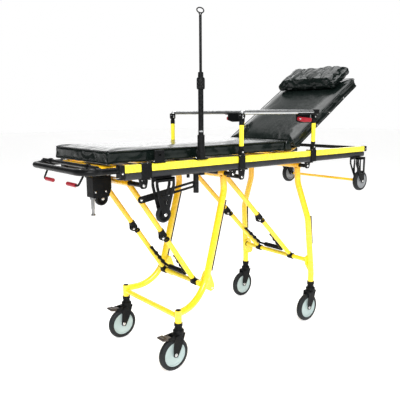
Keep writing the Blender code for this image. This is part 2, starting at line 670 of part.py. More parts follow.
def rear_leg_frame():
    """Two legs that lean to the foot end and curve out to the foot-end casters."""
    x, spread = REAR_STUB
    solids = leg_sleeves(REAR_LEG_X)
    cuts = [cross_rod(REAR_LEG_X, PIVOT_Z, side * 0.140, side * 0.204, AXLE_R + RUNNING, 16)
            for side in SIDES.values()]
    for side in SIDES.values():
        corners = [(REAR_LEG_X, side * 0.180, PIVOT_Z), (0.609, side * 0.180, 0.800),
                   (0.462, side * 0.183, 0.268), (x, side * spread, 0.264)]
        solids.append(sweep(bent_path(corners, [0.120, 0.180], math.radians(16)), LEG_R, 14))
        solids.append(rod((x, side * spread, STUB_BOTTOM), (x, side * spread, 0.288), LEG_R, 14))
        solids.append(rod((x, side * spread, STUB_BOTTOM), (x, side * spread, 0.221), 0.0200, 14))
        fin = rounded([(0.4520, 0.366), (0.4520, 0.341), (0.476, 0.332), (0.530, 0.298), (0.554, 0.306),
                       (0.552, 0.334), (0.520, 0.418), (0.496, 0.400), (0.482, 0.368)],
                      [0.008, 0.008, 0, 0.010, 0.010, 0.012, 0.010, 0, 0])
        inner = side * (REAR_CROSS_Y + GAP)
        solids.append(prism(fin, "XZ", *sorted((inner, side * 0.1720))))
    solids.append(cross_rod(x, 0.250, -spread, spread, BRACE_R))
    return piece("rear_leg_frame", "yellow_paint", solids, cuts, pivot=(REAR_LEG_X, 0, PIVOT_Z))


def front_leg_frame():
    """Two legs that step outwards below the deck and run down to the head-end casters."""
    x, spread = FRONT_STUB
    solids = leg_sleeves(FRONT_LEG_X)
    solids.append(cross_rod(FRONT_LEG_X, PIVOT_Z, -0.160, 0.160, 0.0145, 14))
    cuts = [cross_rod(FRONT_LEG_X, PIVOT_Z, -0.204, 0.204, AXLE_R + RUNNING, 16)]
    for side in SIDES.values():
        corners = [(FRONT_LEG_X, side * 0.178, PIVOT_Z), (1.164, side * 0.181, 0.785),
                   (1.174, side * 0.251, 0.592), (x, side * spread, 0.275),
                   (x, side * spread, STUB_BOTTOM)]
        solids.append(sweep(bent_path(corners, [0.120, 0.140, 0.100]), LEG_R, 14))
        solids.append(rod((x, side * spread, STUB_BOTTOM), (x, side * spread, 0.224), 0.0200, 14))
        fin = rounded([(1.168, 0.366), (1.174, 0.326), (1.202, 0.284), (1.232, 0.284), (1.244, 0.304),
                       (1.236, 0.340), (1.212, 0.384)],
                      [0.008, 0.008, 0.010, 0.008, 0.008, 0.012, 0.010])
        inner = side * (FRONT_CROSS_Y + GAP)
        solids.append(prism(fin, "XZ", *sorted((inner, inner + side * 0.012))))
    return piece("front_leg_frame", "yellow_paint", solids, cuts, pivot=(FRONT_LEG_X, 0, PIVOT_Z))


def knee_axes(brace):
    """Unit vectors along a brace's tubes and square to them, on the side where the knee pin is."""
    top, foot, knee = (Vector((*brace[k], 0)) for k in ("top", "foot", "knee"))
    along = (foot - top).normalized()
    square = Vector((along.y, -along.x, 0))
    if square.dot(knee - top) < 0:
        square = -square
    return top.xy, foot.xy, knee.xy, along.xy, square.xy


def on_tube(brace, distance):
    """Point of the tube's axis at a distance along it from the knee."""
    top, foot, knee, along, square = knee_axes(brace)
    return top + along * ((knee - top).dot(along) + distance)


def knee_outline(brace, points, radii):
    """Rounded outline from points given along and square to the brace's tubes, from the knee pin."""
    top, foot, knee, along, square = knee_axes(brace)
    return rounded([tuple(knee + along * a + square * b) for a, b in points], radii)


def upper_brace(name, brace):
    """Pair of upper braces on one sleeve, each ending in a fork that holds the knee pin."""
    top, foot, knee, along, square = knee_axes(brace)
    solids = [cross_rod(*top, -0.1385, 0.1385, 0.0155, 16)]
    socket = on_tube(brace, -0.020)
    for side in SIDES.values():
        y = side * BRACE_Y
        start = top + along * 0.002
        end = socket - along * 0.004
        solids.append(rod((start.x, y, start.y), (end.x, y, end.y), BRACE_R))
        cap = on_tube(brace, -0.036)
        solids.append(rod((cap.x, y, cap.y), (socket.x, y, socket.y), 0.0150, 14))
        cheek = knee_outline(brace, [(-0.030, -0.026), (0.004, -0.026), (0.011, -0.014), (0.011, 0.011),
                                     (-0.007, 0.011), (-0.024, 0), (-0.030, -0.002)],
                             [0, 0.004, 0.004, 0.009, 0.006, 0.003, 0])
        solids += fork_cheeks(cheek, y)
        solids.append(pivot_pin(knee.x, knee.y, y, 0.0042))
    bore = cross_rod(*top, -0.15, 0.15, AXLE_R + RUNNING, 16)
    return piece(name, "yellow_paint", solids, [bore], pivot=(top.x, 0, top.y))


def lower_brace(name, brace, cross_half):
    """Pair of lower braces on a cross tube, with a pin on each for the release bail."""
    top, foot, knee, along, square = knee_axes(brace)
    solids = [cross_rod(*foot, -cross_half, cross_half, BRACE_R, 14)]
    cuts = []
    start = on_tube(brace, 0.026)
    lug = bail_pivot(brace)
    for side in SIDES.values():
        y = side * BRACE_Y
        solids.append(rod((start.x, y, start.y), (foot.x, y, foot.y), BRACE_R))
        solids.append(cross_rod(*foot, y - 0.0170, y + 0.0170, 0.0170, 16))
        tongue = knee_outline(brace, [(-0.0095, -0.009), (0.008, -0.022), (0.034, -0.022),
                                      (0.034, -0.006), (0.018, -0.003), (0.0095, 0.0095),
                                      (-0.0095, 0.0095)],
                              [0.004, 0.003, 0, 0, 0.003, 0.007, 0.007])
        solids.append(prism(tongue, "XZ", y - TONGUE, y + TONGUE))
        cuts.append(cross_rod(knee.x, knee.y, y - 0.02, y + 0.02, 0.0042 + RUNNING, 12))
        solids.append(rod((lug.x, side * 0.120, lug.y), (lug.x, side * 0.0925, lug.y), 0.0035, 8))
    return piece(name, "yellow_paint", solids, cuts, pivot=(knee.x, 0, knee.y))


def bail_pivot(brace):
    """The bail turns on the lower brace, a bit above its middle, on the tube's axis."""
    top, foot, knee, along, square = knee_axes(brace)
    return knee + (foot - knee) * 0.45 - square * KNEE_OFFSET * 0.55


def bail(name, brace):
    """U-shaped release bail along the inner sides of the lower braces."""
    top, foot, knee, along, square = knee_axes(brace)
    pivot = bail_pivot(brace)
    bend = foot - along * 0.062 - square * 0.002
    grip = foot + Vector((-0.012, 0.033))
    half, neck, reach = 0.0980, 0.0840, 0.0740
    corners = [(pivot.x, -half, pivot.y), (bend.x, -neck, bend.y), (grip.x, -reach, grip.y),
               (grip.x, reach, grip.y), (bend.x, neck, bend.y), (pivot.x, half, pivot.y)]
    solids = [sweep(bent_path(corners, [0.015, 0.010, 0.010, 0.015], math.radians(45)), 0.0036, 6),
              cross_rod(grip.x, grip.y, 0.008 - reach, reach - 0.008, 0.0075, 10)]
    cuts = []
    for side in SIDES.values():
        solids.append(cross_rod(*pivot, side * (half - 0.004), side * (half + 0.004), 0.0080, 12))
        cuts.append(cross_rod(*pivot, side * (half - 0.010), side * (half + 0.010), 0.0035 + RUNNING, 12))
    return piece(name, "black_plastic", solids, cuts, pivot=(pivot.x, 0, pivot.y))


# ---- Casters -----------------------------------------------------------------------------------
def caster_fork(name, stub, side, brake):
    """Swivel crown, two side plates and the wheel's axle. Foot-end forks also carry the pedal pin."""
    x, y = stub[0], side * stub[1]
    wheel_x, wheel_z = x - CASTER_TRAIL, CASTER_R
    inner, outer = CASTER_WIDTH / 2 + 0.0030, CASTER_WIDTH / 2 + 0.0062
    crown = [(0, 0.1650), (0.0250, 0.1650), (0.0260, 0.1860), (0.0180, 0.1950),
             (0.0170, STUB_BOTTOM - GAP), (0, STUB_BOTTOM - GAP)]
    solids = [turned(crown, (x, y, 0), (0, 0, 1), 18),
              box((x - 0.034, y - outer, 0.1640), (x + 0.024, y + outer, 0.1740))]
    outline = rounded([(x - 0.036, 0.173), (wheel_x - 0.015, wheel_z - 0.008),
                       (wheel_x + 0.010, wheel_z - 0.014), (x + 0.004, wheel_z + 0.030),
                       (x + 0.026, 0.173)], [0, 0.013, 0.008, 0.020, 0])
    for s in (-1, 1):
        solids.append(prism(outline, "XZ", *sorted((y + s * inner, y + s * outer))))
        solids.append(cross_rod(wheel_x, wheel_z, y + s * (outer - 0.001), y + s * (outer + 0.0035),
                                0.0080, 8))
        if brake:
            arm = rounded([(x - 0.030, 0.173), (x - 0.030, 0.153), (x - 0.071, 0.155), (x - 0.071, 0.171)],
                          [0, 0, 0.006, 0.006])
            solids.append(prism(arm, "XZ", *sorted((y + s * inner, y + s * outer))))
    solids.append(cross_rod(wheel_x, wheel_z, y - outer, y + outer, 0.0050))
    if brake:
        solids.append(cross_rod(x - 0.062, 0.163, y - outer - 0.001, y + outer + 0.001, 0.0030, 8))
    return piece(name, "black_plastic", solids, pivot=(x, y, STUB_BOTTOM))


def caster_wheel(name, stub, side):
    """Tyre on a dished hub disc, with a bore for the axle."""
    x, y, half = stub[0] - CASTER_TRAIL, side * stub[1], CASTER_WIDTH / 2
    bore = 0.0050 + RUNNING
    profile = [(bore, -half), (0.0520, -half * 0.60), (0.0560, -half * 0.95), (0.0710, -half * 0.95),
               (CASTER_R, -half * 0.40)]
    profile += [(radius, -height) for radius, height in reversed(profile)]
    return piece(name, "caster_wheel", [turned(profile, (x, y, CASTER_R), (0, 1, 0), 24)],
                 pivot=(x, y, CASTER_R))


def brake_pedal(name, stub, side):
    """Foot pedal of the wheel brake, on a pin between the fork's arms."""
    x, y = stub[0], side * stub[1]
    pin = (x - 0.062, 0.163)
    outline = rounded([(x - 0.050, 0.1690), (x - 0.050, 0.1580), (x - 0.066, 0.1570), (x - 0.098, 0.1630),
                       (x - 0.105, 0.1720), (x - 0.101, 0.1775), (x - 0.068, 0.1710)],
                      [0.003, 0.003, 0.002, 0.003, 0.003, 0.002, 0.002])
    half = CASTER_WIDTH / 2 + 0.0030 - GAP
    solids = [prism(outline, "XZ", y - half, y + half),
              box((x - 0.105, y - 0.024, 0.1660), (x - 0.075, y + 0.024, 0.1750), 0.002)]
    bore = cross_rod(*pin, y - 0.03, y + 0.03, 0.0030 + RUNNING, 10)
    return piece(name, "black_plastic", solids, [bore], pivot=(pin[0], y, pin[1]))


# ---- Release levers ----------------------------------------------------------------------------
def release_lever(name, side):
    """Cranked lever with a red grip, turning on the inner bar of the foot loop."""
    low = (-0.152, 0.892)
    ring_y, grip_y, grip_end = 0.176, 0.166, 0.070
    corners = [(INNER_BAR_X - 0.0046, side * ring_y, INNER_BAR_Z - 0.0088),
               (low[0], side * grip_y, low[1]), (low[0], side * grip_end, low[1])]
    solids = [sweep(bent_path(corners, [0.010], math.radians(45)), 0.0042, 10),
              cross_rod(INNER_BAR_X, INNER_BAR_Z, side * (ring_y - 0.008), side * (ring_y + 0.008),
                        0.0120, 16),
              cross_rod(*low, side * (grip_y - 0.014), side * (grip_end - 0.001), 0.0085, 12)]
    bore = cross_rod(INNER_BAR_X, INNER_BAR_Z, side * (ring_y - 0.02), side * (ring_y + 0.02),
                     INNER_BAR_R + RUNNING, 16)
    return piece(name, "red_plastic", solids, [bore], pivot=(INNER_BAR_X, side * ring_y, INNER_BAR_Z))


# ---- Assembly ----------------------------------------------------------------------------------
def build_chassis():
    deck_frame()
    for name, side in SIDES.items():
        side_rail("side_rail_" + name, side)
    foot_loop()
    head_bar()
    flat_pad()
    hanger("rear_leg_hanger", REAR_LEG_X, PIVOT_Z)
    hanger("front_leg_hanger", FRONT_LEG_X, PIVOT_Z)
    hanger("rear_brace_hanger", *REAR_BRACE["top"])
    hanger("front_brace_hanger", *FRONT_BRACE["top"])
    load_wheel_axle()
    stay_arm()
    lock_box()
    lock_pin()
    pole_socket()
    pole_outer_tube()
    spare_bracket()
    for name, side in SIDES.items():
        x, z = LOAD_WHEEL["x"], LOAD_WHEEL["z"]
        window = rounded([(x - 0.058, z + 0.098), (x - 0.026, z + 0.045), (x - 0.002, z + 0.045),
                          (x, z + 0.098)], 0.003)
        wheel_bracket("load_bracket_" + name, LOAD_WHEEL, side, (0.080, 0.014), window)
        fixed_wheel("load_wheel_" + name, LOAD_WHEEL, side)
        x, z = FOOT_WHEEL["x"], FOOT_WHEEL["z"]
        window = rounded([(x - 0.024, z + 0.098), (x - 0.020, z + 0.068), (x + 0.022, z + 0.068),
                          (x + 0.028, z + 0.098)], 0.004)
        wheel_bracket("foot_wheel_bracket_" + name, FOOT_WHEEL, side, (0.046, 0.052), window)
        fixed_wheel("foot_wheel_" + name, FOOT_WHEEL, side)


def build_backrest():
    frame = backrest_frame()
    hang(backrest_pad(), frame)
    hang(pillow(), frame)
    cylinder, shaft = strut_parts()
    hang(shaft, cylinder)


def build_guards():
    for name, side in SIDES.items():
        foot_post = guard_post("guard_foot_post_" + name, GUARD_X[0], side)
        guard_post("guard_head_post_" + name, GUARD_X[1], side)
        rail = guard_rail("guard_rail_" + name, side)
        hang(rail, foot_post)
        hang(guard_lever("guard_lever_" + name, side), rail)


def build_leg_set(which, frame, brace, cross_half, stub, brake):
    """One folding leg frame with its braces, bail and casters."""
    upper = upper_brace(which + "_upper_brace", brace)
    lower = lower_brace(which + "_lower_brace", brace, cross_half)
    hang(lower, upper)
    hang(bail(which + "_release_bail", brace), lower)
    end = {"rear": "foot", "front": "head"}[which]
    for name, side in SIDES.items():
        tag = end + "_" + name
        fork = caster_fork("caster_fork_" + tag, stub, side, brake)
        hang(fork, frame)
        hang(caster_wheel("caster_wheel_" + tag, stub, side), fork)
        if brake:
            hang(brake_pedal("brake_pedal_" + tag, stub, side), fork)


def main():
    for obj in list(bpy.data.objects):
        bpy.data.objects.remove(obj)
    build_chassis()
    build_backrest()
    build_guards()
    pole_collar()
    pole_rod()
    build_leg_set("rear", rear_leg_frame(), REAR_BRACE, REAR_CROSS_Y, REAR_STUB, True)
    build_leg_set("front", front_leg_frame(), FRONT_BRACE, FRONT_CROSS_Y, FRONT_STUB, False)
    for name, side in SIDES.items():
        release_lever("release_lever_" + name, side)
    for obj in bpy.data.objects:
        if obj.parent is None:
            obj.location.x -= MIDDLE_X


main()
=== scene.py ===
import json
import math
from collections import namedtuple

import bmesh
import bpy
from mathutils import Matrix, Vector, noise


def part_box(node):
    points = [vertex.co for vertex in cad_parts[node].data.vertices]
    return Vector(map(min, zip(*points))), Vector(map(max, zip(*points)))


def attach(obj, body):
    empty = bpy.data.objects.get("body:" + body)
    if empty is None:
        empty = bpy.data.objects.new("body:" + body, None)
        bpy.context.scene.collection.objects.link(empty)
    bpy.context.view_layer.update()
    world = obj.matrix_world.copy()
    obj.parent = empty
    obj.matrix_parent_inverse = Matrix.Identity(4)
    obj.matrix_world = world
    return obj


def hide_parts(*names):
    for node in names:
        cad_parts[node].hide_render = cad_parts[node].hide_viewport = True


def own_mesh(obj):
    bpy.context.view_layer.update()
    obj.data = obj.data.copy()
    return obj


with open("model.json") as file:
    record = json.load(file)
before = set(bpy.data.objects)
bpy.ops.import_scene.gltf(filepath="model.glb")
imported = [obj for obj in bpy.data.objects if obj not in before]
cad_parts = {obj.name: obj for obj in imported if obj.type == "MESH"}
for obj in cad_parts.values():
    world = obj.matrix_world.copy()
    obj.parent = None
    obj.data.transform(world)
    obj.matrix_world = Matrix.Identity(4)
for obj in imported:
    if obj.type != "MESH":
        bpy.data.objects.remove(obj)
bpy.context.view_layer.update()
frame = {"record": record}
BODY_OF = {node: body for body, nodes in frame["record"]["behaviour"]["bodies"].items()
           for node in nodes}

# ---- Dimensions, in metres. Every X is measured from the foot end of the side rails -------------
FOOT_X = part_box("side_rail_right")[0].x
SIDES = {"right": -1, "left": 1}
GAP = 0.0005                  # air between parts that rest on each other
RUNNING = 0.0008              # radial air round a pin or an axle

RAIL_LENGTH = 1.667
RAIL_Y = 0.256
RAIL_WIDTH = 0.030
RAIL_TOP = 0.969
STRIPE_HEIGHT = 0.031
TRACK_HEIGHT = 0.030
RAIL_BOTTOM = RAIL_TOP - STRIPE_HEIGHT - TRACK_HEIGHT
CLAMP_INNER_Y = 0.2375        # inner face of whatever is clamped round a rail
LOOP_X, LOOP_Z, LOOP_R, LOOP_BEND = -0.173, 0.950, 0.013, 0.065
INNER_BAR_X, INNER_BAR_Z, INNER_BAR_R = -0.112, 0.966, 0.008

# Deck and upholstery. On the backrest, S runs along it from the hinge and N stands square to it
DECK_Z, DECK_Y, DECK_R, DECK_FOOT_X = 0.955, 0.222, 0.0115, -0.048
DECK_SLATS_X = (0.022, 0.260, 0.500, 0.740, 0.960)
HINGE_X = 1.066
PAD_Y, PAD_BOTTOM, PAD_TOP, PAD_FOOT_X, PAD_HEAD_X = 0.250, 0.9745, 1.033, -0.062, 0.990
BACK_ANGLE = math.radians(32.6)
BACK_LENGTH = 0.655
BACK_SLATS_S = (0.160, 0.310, 0.460, 0.590)
BACK_PAD_N = (0.0195, 0.078)
PILLOW_S, PILLOW_Y, PILLOW_N = (0.512, 0.705), 0.217, (0.0795, 0.148)
PILLOW_SHIFT = 0.015          # the pillow lies a little to the left of the middle

# Folding legs. Places in braces are X and Z of their pins; a stub is the X and Y of a caster's axis
LEG_R = 0.0165
BRACE_R = 0.0125
BRACE_Y = 0.126
KNEE_OFFSET = 0.0145
AXLE_R = 0.0105
PIVOT_Z = 0.885
REAR_LEG_X, FRONT_LEG_X = 0.603, 1.160
REAR_BRACE = {"top": (0.100, 0.878), "knee": (0.272, 0.605), "foot": (0.465, 0.353)}
FRONT_BRACE = {"top": (0.662, 0.867), "knee": (0.912, 0.600), "foot": (1.188, 0.348)}
REAR_CROSS_Y, FRONT_CROSS_Y = 0.1500, 0.2375
STUB_BOTTOM = 0.2075
REAR_STUB, FRONT_STUB = (0.283, 0.228), (1.203, 0.262)
CASTER_R, CASTER_WIDTH, CASTER_TRAIL = 0.078, 0.030, 0.030
FORK_FACES = (0.0030, 0.0062)      # inner and outer face of a caster fork, from the wheel's side
PEDAL_PIN = (-0.062, 0.163)        # from the caster's swivel axis, and above the floor
LOAD_WHEEL = {"x": 1.627, "y": 0.275, "z": 0.766, "r": 0.060, "w": 0.030}
FOOT_WHEEL = {"x": 0.181, "y": 0.269, "z": 0.750, "r": 0.036, "w": 0.022}
BRACKET_FACES = (0.0030, 0.0065)   # the same for the brackets of the fixed wheels

# Guard rails, drip pole and gas strut. STRUT_TOP is in the backrest's own S and N
GUARD_Y = 0.270
GUARD_X = (0.637, 1.174)
GUARD_BASE_Z, GUARD_TOP_Z, GUARD_RAIL_Z, GUARD_R = 0.990, 1.150, 1.174, 0.011
CHEEK = (0.0058, 0.0105)      # inner and outer face of a fork's cheek, from its middle plane
TONGUE = 0.005
EAR_R = 0.012
PIN_R = 0.0038
LEVER_PIN = (1.054, 1.140)
CUTTER_REACH = 0.03           # how far a hole's cutter sticks out to either side
POLE_X, POLE_Y = 0.390, -0.270
STRUT_BASE, STRUT_TOP = (1.100, 0.888), (0.160, -0.020)


# ---- Materials ---------------------------------------------------------------------------------
def noise_node(tree, vector, scale, detail=3.0, stretch=(1, 1, 1)):
    """Noise in the object's own space, stretched along its axes."""
    mapping = tree.nodes.new("ShaderNodeMapping")
    mapping.inputs["Scale"].default_value = stretch
    texture = tree.nodes.new("ShaderNodeTexNoise")
    texture.inputs["Scale"].default_value = scale
    texture.inputs["Detail"].default_value = detail
    tree.links.new(vector, mapping.inputs["Vector"])
    tree.links.new(mapping.outputs["Vector"], texture.inputs["Vector"])
    return texture.outputs["Fac"]


def ranged(tree, value, low, high, start=0.3, end=0.7):
    """A value between start and end, spread out to run from low to high."""
    node = tree.nodes.new("ShaderNodeMapRange")
    node.inputs["From Min"].default_value = start
    node.inputs["From Max"].default_value = end
    node.inputs["To Min"].default_value = low
    node.inputs["To Max"].default_value = high
    tree.links.new(value, node.inputs["Value"])
    return node.outputs["Result"]


def blend_colors(tree, factor, first, second):
    node = tree.nodes.new("ShaderNodeMix")
    node.data_type = "RGBA"
    tree.links.new(factor, node.inputs["Factor"])
    for socket, value in ((node.inputs[6], first), (node.inputs[7], second)):
        if isinstance(value, tuple):
            socket.default_value = (*value, 1.0)
        else:
            tree.links.new(value, socket)
    return node.outputs[2]


def relief(tree, height, strength, distance, normal=None):
    node = tree.nodes.new("ShaderNodeBump")
    node.inputs["Strength"].default_value = strength
    node.inputs["Distance"].default_value = distance
    tree.links.new(height, node.inputs["Height"])
    if normal:
        tree.links.new(normal, node.inputs["Normal"])
    return node.outputs["Normal"]


def surface(name, color, dirt, roughness, metallic=0.0, grain=(900.0, 0.06), waves=(22.0, 0.04),
            worn=None, coat=0.0, stretch=(1, 1, 1), shine=0.5):
    """Material with mottled colour, uneven gloss, fine grain, a slow ripple and worn edges."""
    mat = bpy.data.materials.new(name)
    mat.use_nodes = True
    tree = mat.node_tree
    shader = tree.nodes["Principled BSDF"]
    where = tree.nodes.new("ShaderNodeTexCoord").outputs["Object"]
    patches = noise_node(tree, where, 14.0, 5.0)
    shade = blend_colors(tree, ranged(tree, patches, 0.0, 1.0), color, dirt)
    if worn:
        geometry = tree.nodes.new("ShaderNodeNewGeometry")
        edges = ranged(tree, geometry.outputs["Pointiness"], 0.0, 0.7, 0.53, 0.62)
        scratch = ranged(tree, noise_node(tree, where, 160.0, 4.0), 0.0, 1.0, 0.45, 0.62)
        product = tree.nodes.new("ShaderNodeMath")
        product.operation = "MULTIPLY"
        tree.links.new(edges, product.inputs[0])
        tree.links.new(scratch, product.inputs[1])
        shade = blend_colors(tree, product.outputs[0], shade, worn)
    tree.links.new(shade, shader.inputs["Base Color"])
    gloss = ranged(tree, noise_node(tree, where, 55.0, 4.0), roughness[0], roughness[1])
    tree.links.new(gloss, shader.inputs["Roughness"])
    slow = relief(tree, noise_node(tree, where, waves[0], 3.0), waves[1], 0.002)
    fine = noise_node(tree, where, grain[0], 2.0, stretch)
    tree.links.new(relief(tree, fine, grain[1], 0.0004, slow), shader.inputs["Normal"])
    shader.inputs["Metallic"].default_value = metallic
    shader.inputs["Specular IOR Level"].default_value = shine
    shader.inputs["Coat Weight"].default_value = coat
    shader.inputs["Coat Roughness"].default_value = 0.12
    return mat


def tube_paint():
    """Yellow powder coat, with painted shade: darker and more orange higher up, towards the deck
    that shades it, than towards the floor.
    """
    mat = surface("tube_paint", (0.93, 0.71, 0.022), (0.90, 0.66, 0.018), (0.20, 0.34),
                  worn=(0.45, 0.36, 0.15), coat=0.5)
    tree = mat.node_tree
    shader = tree.nodes["Principled BSDF"]
    split = tree.nodes.new("ShaderNodeSeparateXYZ")
    tree.links.new(tree.nodes.new("ShaderNodeTexCoord").outputs["Object"], split.inputs[0])
    # Painted shade: the colour turns darker orange with height, as in the shade under the deck.
    deck_shade = ranged(tree, split.outputs["Z"], 0.0, 0.80, 0.45, 0.85)
    plain = shader.inputs["Base Color"].links[0].from_socket
    deck_shaded_color = blend_colors(tree, deck_shade, plain, (0.90, 0.44, 0.008))
    tree.links.new(deck_shaded_color, shader.inputs["Base Color"])
    return mat


def vinyl():
    """Upholstery vinyl: leather grain of small cells, soft creases and a low, uneven sheen."""
    mat = surface("vinyl", (0.0030, 0.0055, 0.0047), (0.0055, 0.0092, 0.0080), (0.15, 0.26),
                  shine=0.27, grain=(1400.0, 0.012), waves=(9.0, 0.08))
    tree = mat.node_tree
    shader = tree.nodes["Principled BSDF"]
    where = tree.nodes.new("ShaderNodeTexCoord").outputs["Object"]
    cells = tree.nodes.new("ShaderNodeTexVoronoi")
    cells.feature = "DISTANCE_TO_EDGE"
    cells.inputs["Scale"].default_value = 420.0
    tree.links.new(where, cells.inputs["Vector"])
    under = shader.inputs["Normal"].links[0].from_socket
    grain = relief(tree, ranged(tree, cells.outputs["Distance"], 0.0, 1.0, 0.0, 0.25), 0.02, 0.0002,
                   under)
    soft = noise_node(tree, where, 34.0, 6.0, (0.35, 1.0, 0.6))
    folded = relief(tree, ranged(tree, soft, 0.0, 1.0, 0.40, 0.70), 0.05, 0.002, grain)
    tree.links.new(folded, shader.inputs["Normal"])
    return mat


DEEP_BLACK = (0.0035, 0.0038, 0.0041), (0.007, 0.0075, 0.008)
FINISHES = {
    "stripe": (surface("stripe_paint", (0.93, 0.80, 0.035), (0.91, 0.77, 0.032), (0.22, 0.34),
                       grain=(900.0, 0.02), waves=(14.0, 0.012), coat=0.4), "yellow_paint"),
    "yellow": (tube_paint(), "yellow_paint"),
    "track": (surface("track_moulding", (0.018, 0.019, 0.021), (0.028, 0.030, 0.032), (0.26, 0.40),
                      worn=(0.13, 0.13, 0.14), shine=0.26), "black_plastic"),
    "black": (surface("moulded_plastic", *DEEP_BLACK, (0.34, 0.50), grain=(1500.0, 0.10),
                      worn=(0.07, 0.07, 0.07), shine=0.09), "black_plastic"),
    "steel": (surface("coated_steel", *DEEP_BLACK, (0.24, 0.40), worn=(0.12, 0.12, 0.12),
                      shine=0.11), "black_steel"),
    "bright": (surface("zinc_plate", (0.74, 0.74, 0.73), (0.62, 0.62, 0.62), (0.18, 0.34), 1.0,
                       grain=(500.0, 0.10)), "bright_steel"),
    "turned": (surface("turned_steel", (0.30, 0.30, 0.30), (0.22, 0.22, 0.22), (0.22, 0.36), 0.85,
                       grain=(420.0, 0.10), stretch=(1, 1, 5)), "bright_steel"),
    "alu": (surface("satin_tube", (0.60, 0.61, 0.61), (0.50, 0.51, 0.52), (0.26, 0.38), 0.9,
                    grain=(260.0, 0.10), stretch=(0.1, 6, 6)), "satin_aluminium"),
    "red": (surface("red_grip", (0.34, 0.005, 0.017), (0.26, 0.004, 0.013), (0.30, 0.44),
                    grain=(700.0, 0.12), worn=(0.70, 0.10, 0.12)), "red_plastic"),
    "tyre": (surface("tyre_rubber", (0.008, 0.009, 0.010), (0.016, 0.018, 0.020), (0.45, 0.65),
                     grain=(1100.0, 0.16), worn=(0.07, 0.07, 0.07), shine=0.20), "grey_rubber"),
    "hub": (surface("hub_nylon", (0.42, 0.51, 0.50), (0.34, 0.42, 0.41), (0.34, 0.50),
                    grain=(800.0, 0.10)), "grey_rubber"),
    "grey": (surface("hub_grey", (0.26, 0.27, 0.28), (0.20, 0.21, 0.22), (0.30, 0.46),
                     grain=(800.0, 0.10)), "grey_rubber"),
    "brown": (surface("pedal_plastic", (0.028, 0.019, 0.015), (0.046, 0.031, 0.023), (0.40, 0.56),
                      grain=(900.0, 0.16), worn=(0.20, 0.14, 0.10)), "black_plastic"),
    "vinyl": (vinyl(), "black_vinyl"),
}


# ---- Outlines and paths ------------------------------------------------------------------------
def arc_between(before, corner, after, radius, step):
    """Points of the arc that rounds one corner of a path."""
    to_before = (before - corner).normalized()
    to_after = (after - corner).normalized()
    half = to_before.angle(to_after) / 2
    centre = corner + (to_before + to_after).normalized() * (radius / math.sin(half))
    spoke = corner + to_before * (radius / math.tan(half)) - centre
    turn = math.pi - 2 * half
    count = max(1, math.ceil(turn / step))
    axis = spoke.cross(corner + to_after * (radius / math.tan(half)) - centre)
    return [centre + Matrix.Rotation(turn * i / count, 3, axis) @ spoke for i in range(count + 1)]


def bent_path(corners, radii, step=math.radians(6)):
    """An open path in space, rounded at each inner corner."""
    points = [Vector(corner) for corner in corners]
    path = [points[0]]
    for i, radius in enumerate(radii, start=1):
        path += arc_between(points[i - 1], points[i], points[i + 1], radius, step)
    path.append(points[-1])
    return path


def rounded(corners, radius, step=math.radians(11.25)):
    """A closed flat outline with rounded corners. radius is one size, or one for each corner."""
    points = [Vector((u, v, 0)) for u, v in corners]
    radii = radius if isinstance(radius, (list, tuple)) else [radius] * len(points)
    outline = []
    for i, corner_radius in enumerate(radii):
        before, corner, after = points[i - 1], points[i], points[(i + 1) % len(points)]
        if corner_radius:
            outline += arc_between(before, corner, after, corner_radius, step)
        else:
            outline.append(corner)
    return [(p.x, p.y) for p in outline]


def rectangle(centre, size, radius):
    (u, v), (width, height) = centre, size
    corners = [(u - width / 2, v - height / 2), (u + width / 2, v - height / 2),
               (u + width / 2, v + height / 2), (u - width / 2, v + height / 2)]
    return rounded(corners, radius)


def ear(centre, end, radius, steps=18):
    """Outline of a plate that reaches from a straight edge at end to a round nose about centre."""
    (cu, cv), (eu, ev) = centre, end
    along = math.atan2(ev - cv, eu - cu)
    nose = [(cu + radius * math.cos(along + math.pi / 2 + math.pi * i / steps),
             cv + radius * math.sin(along + math.pi / 2 + math.pi * i / steps))
            for i in range(steps + 1)]
    side_u = radius * math.cos(along + math.pi / 2)
    side_v = radius * math.sin(along + math.pi / 2)
    return nose + [(eu - side_u, ev - side_v), (eu + side_u, ev + side_v)]


# ---- Loose solids ------------------------------------------------------------------------------
def solid(bm):
    bmesh.ops.recalc_face_normals(bm, faces=bm.faces)
    mesh = bpy.data.meshes.new("solid")
    bm.to_mesh(mesh)
    bm.free()
    return mesh


def sweep(path, radius, sides=28, closed=False):
    """A round bar along a path. radius is one size, or one for each point."""
    points = [Vector(p) for p in path]
    count = len(points)
    radii = radius if isinstance(radius, (list, tuple)) else [radius] * count
    tangents = []
    for i in range(count):
        after = points[(i + 1) % count] if closed or i + 1 < count else points[i]
        before = points[i - 1] if closed or i > 0 else points[i]
        tangents.append((after - before).normalized())
    up = Vector((0, 0, 1)) if abs(tangents[0].z) < 0.9 else Vector((0, 1, 0))
    across = tangents[0].cross(up).normalized()
    bm = bmesh.new()
    rings = []
    for point, tangent, size in zip(points, tangents, radii):
        across = (across - tangent * across.dot(tangent)).normalized()
        other = tangent.cross(across)
        angles = [2 * math.pi * k / sides for k in range(sides)]
        rings.append([bm.verts.new(point + size * (math.cos(a) * across + math.sin(a) * other))
                      for a in angles])
    pairs = list(zip(rings, rings[1:]))
    if closed:
        pairs.append((rings[-1], rings[0]))
    for ring, following in pairs:
        for k in range(sides):
            nxt = (k + 1) % sides
            bm.faces.new((ring[k], ring[nxt], following[nxt], following[k]))
    if not closed:
        bm.faces.new(rings[0])
        bm.faces.new(rings[-1])
    return solid(bm)


def rod(start, end, radius, sides=28):
    return sweep([start, end], radius, sides)


def cross_rod(x, z, y_from, y_to, radius, sides=28):
    return rod((x, y_from, z), (x, y_to, z), radius, sides)


def post(x, y, low, high, radius, sides=28):
    """An upright rod between two heights."""
    return rod((x, y, low), (x, y, high), radius, sides)


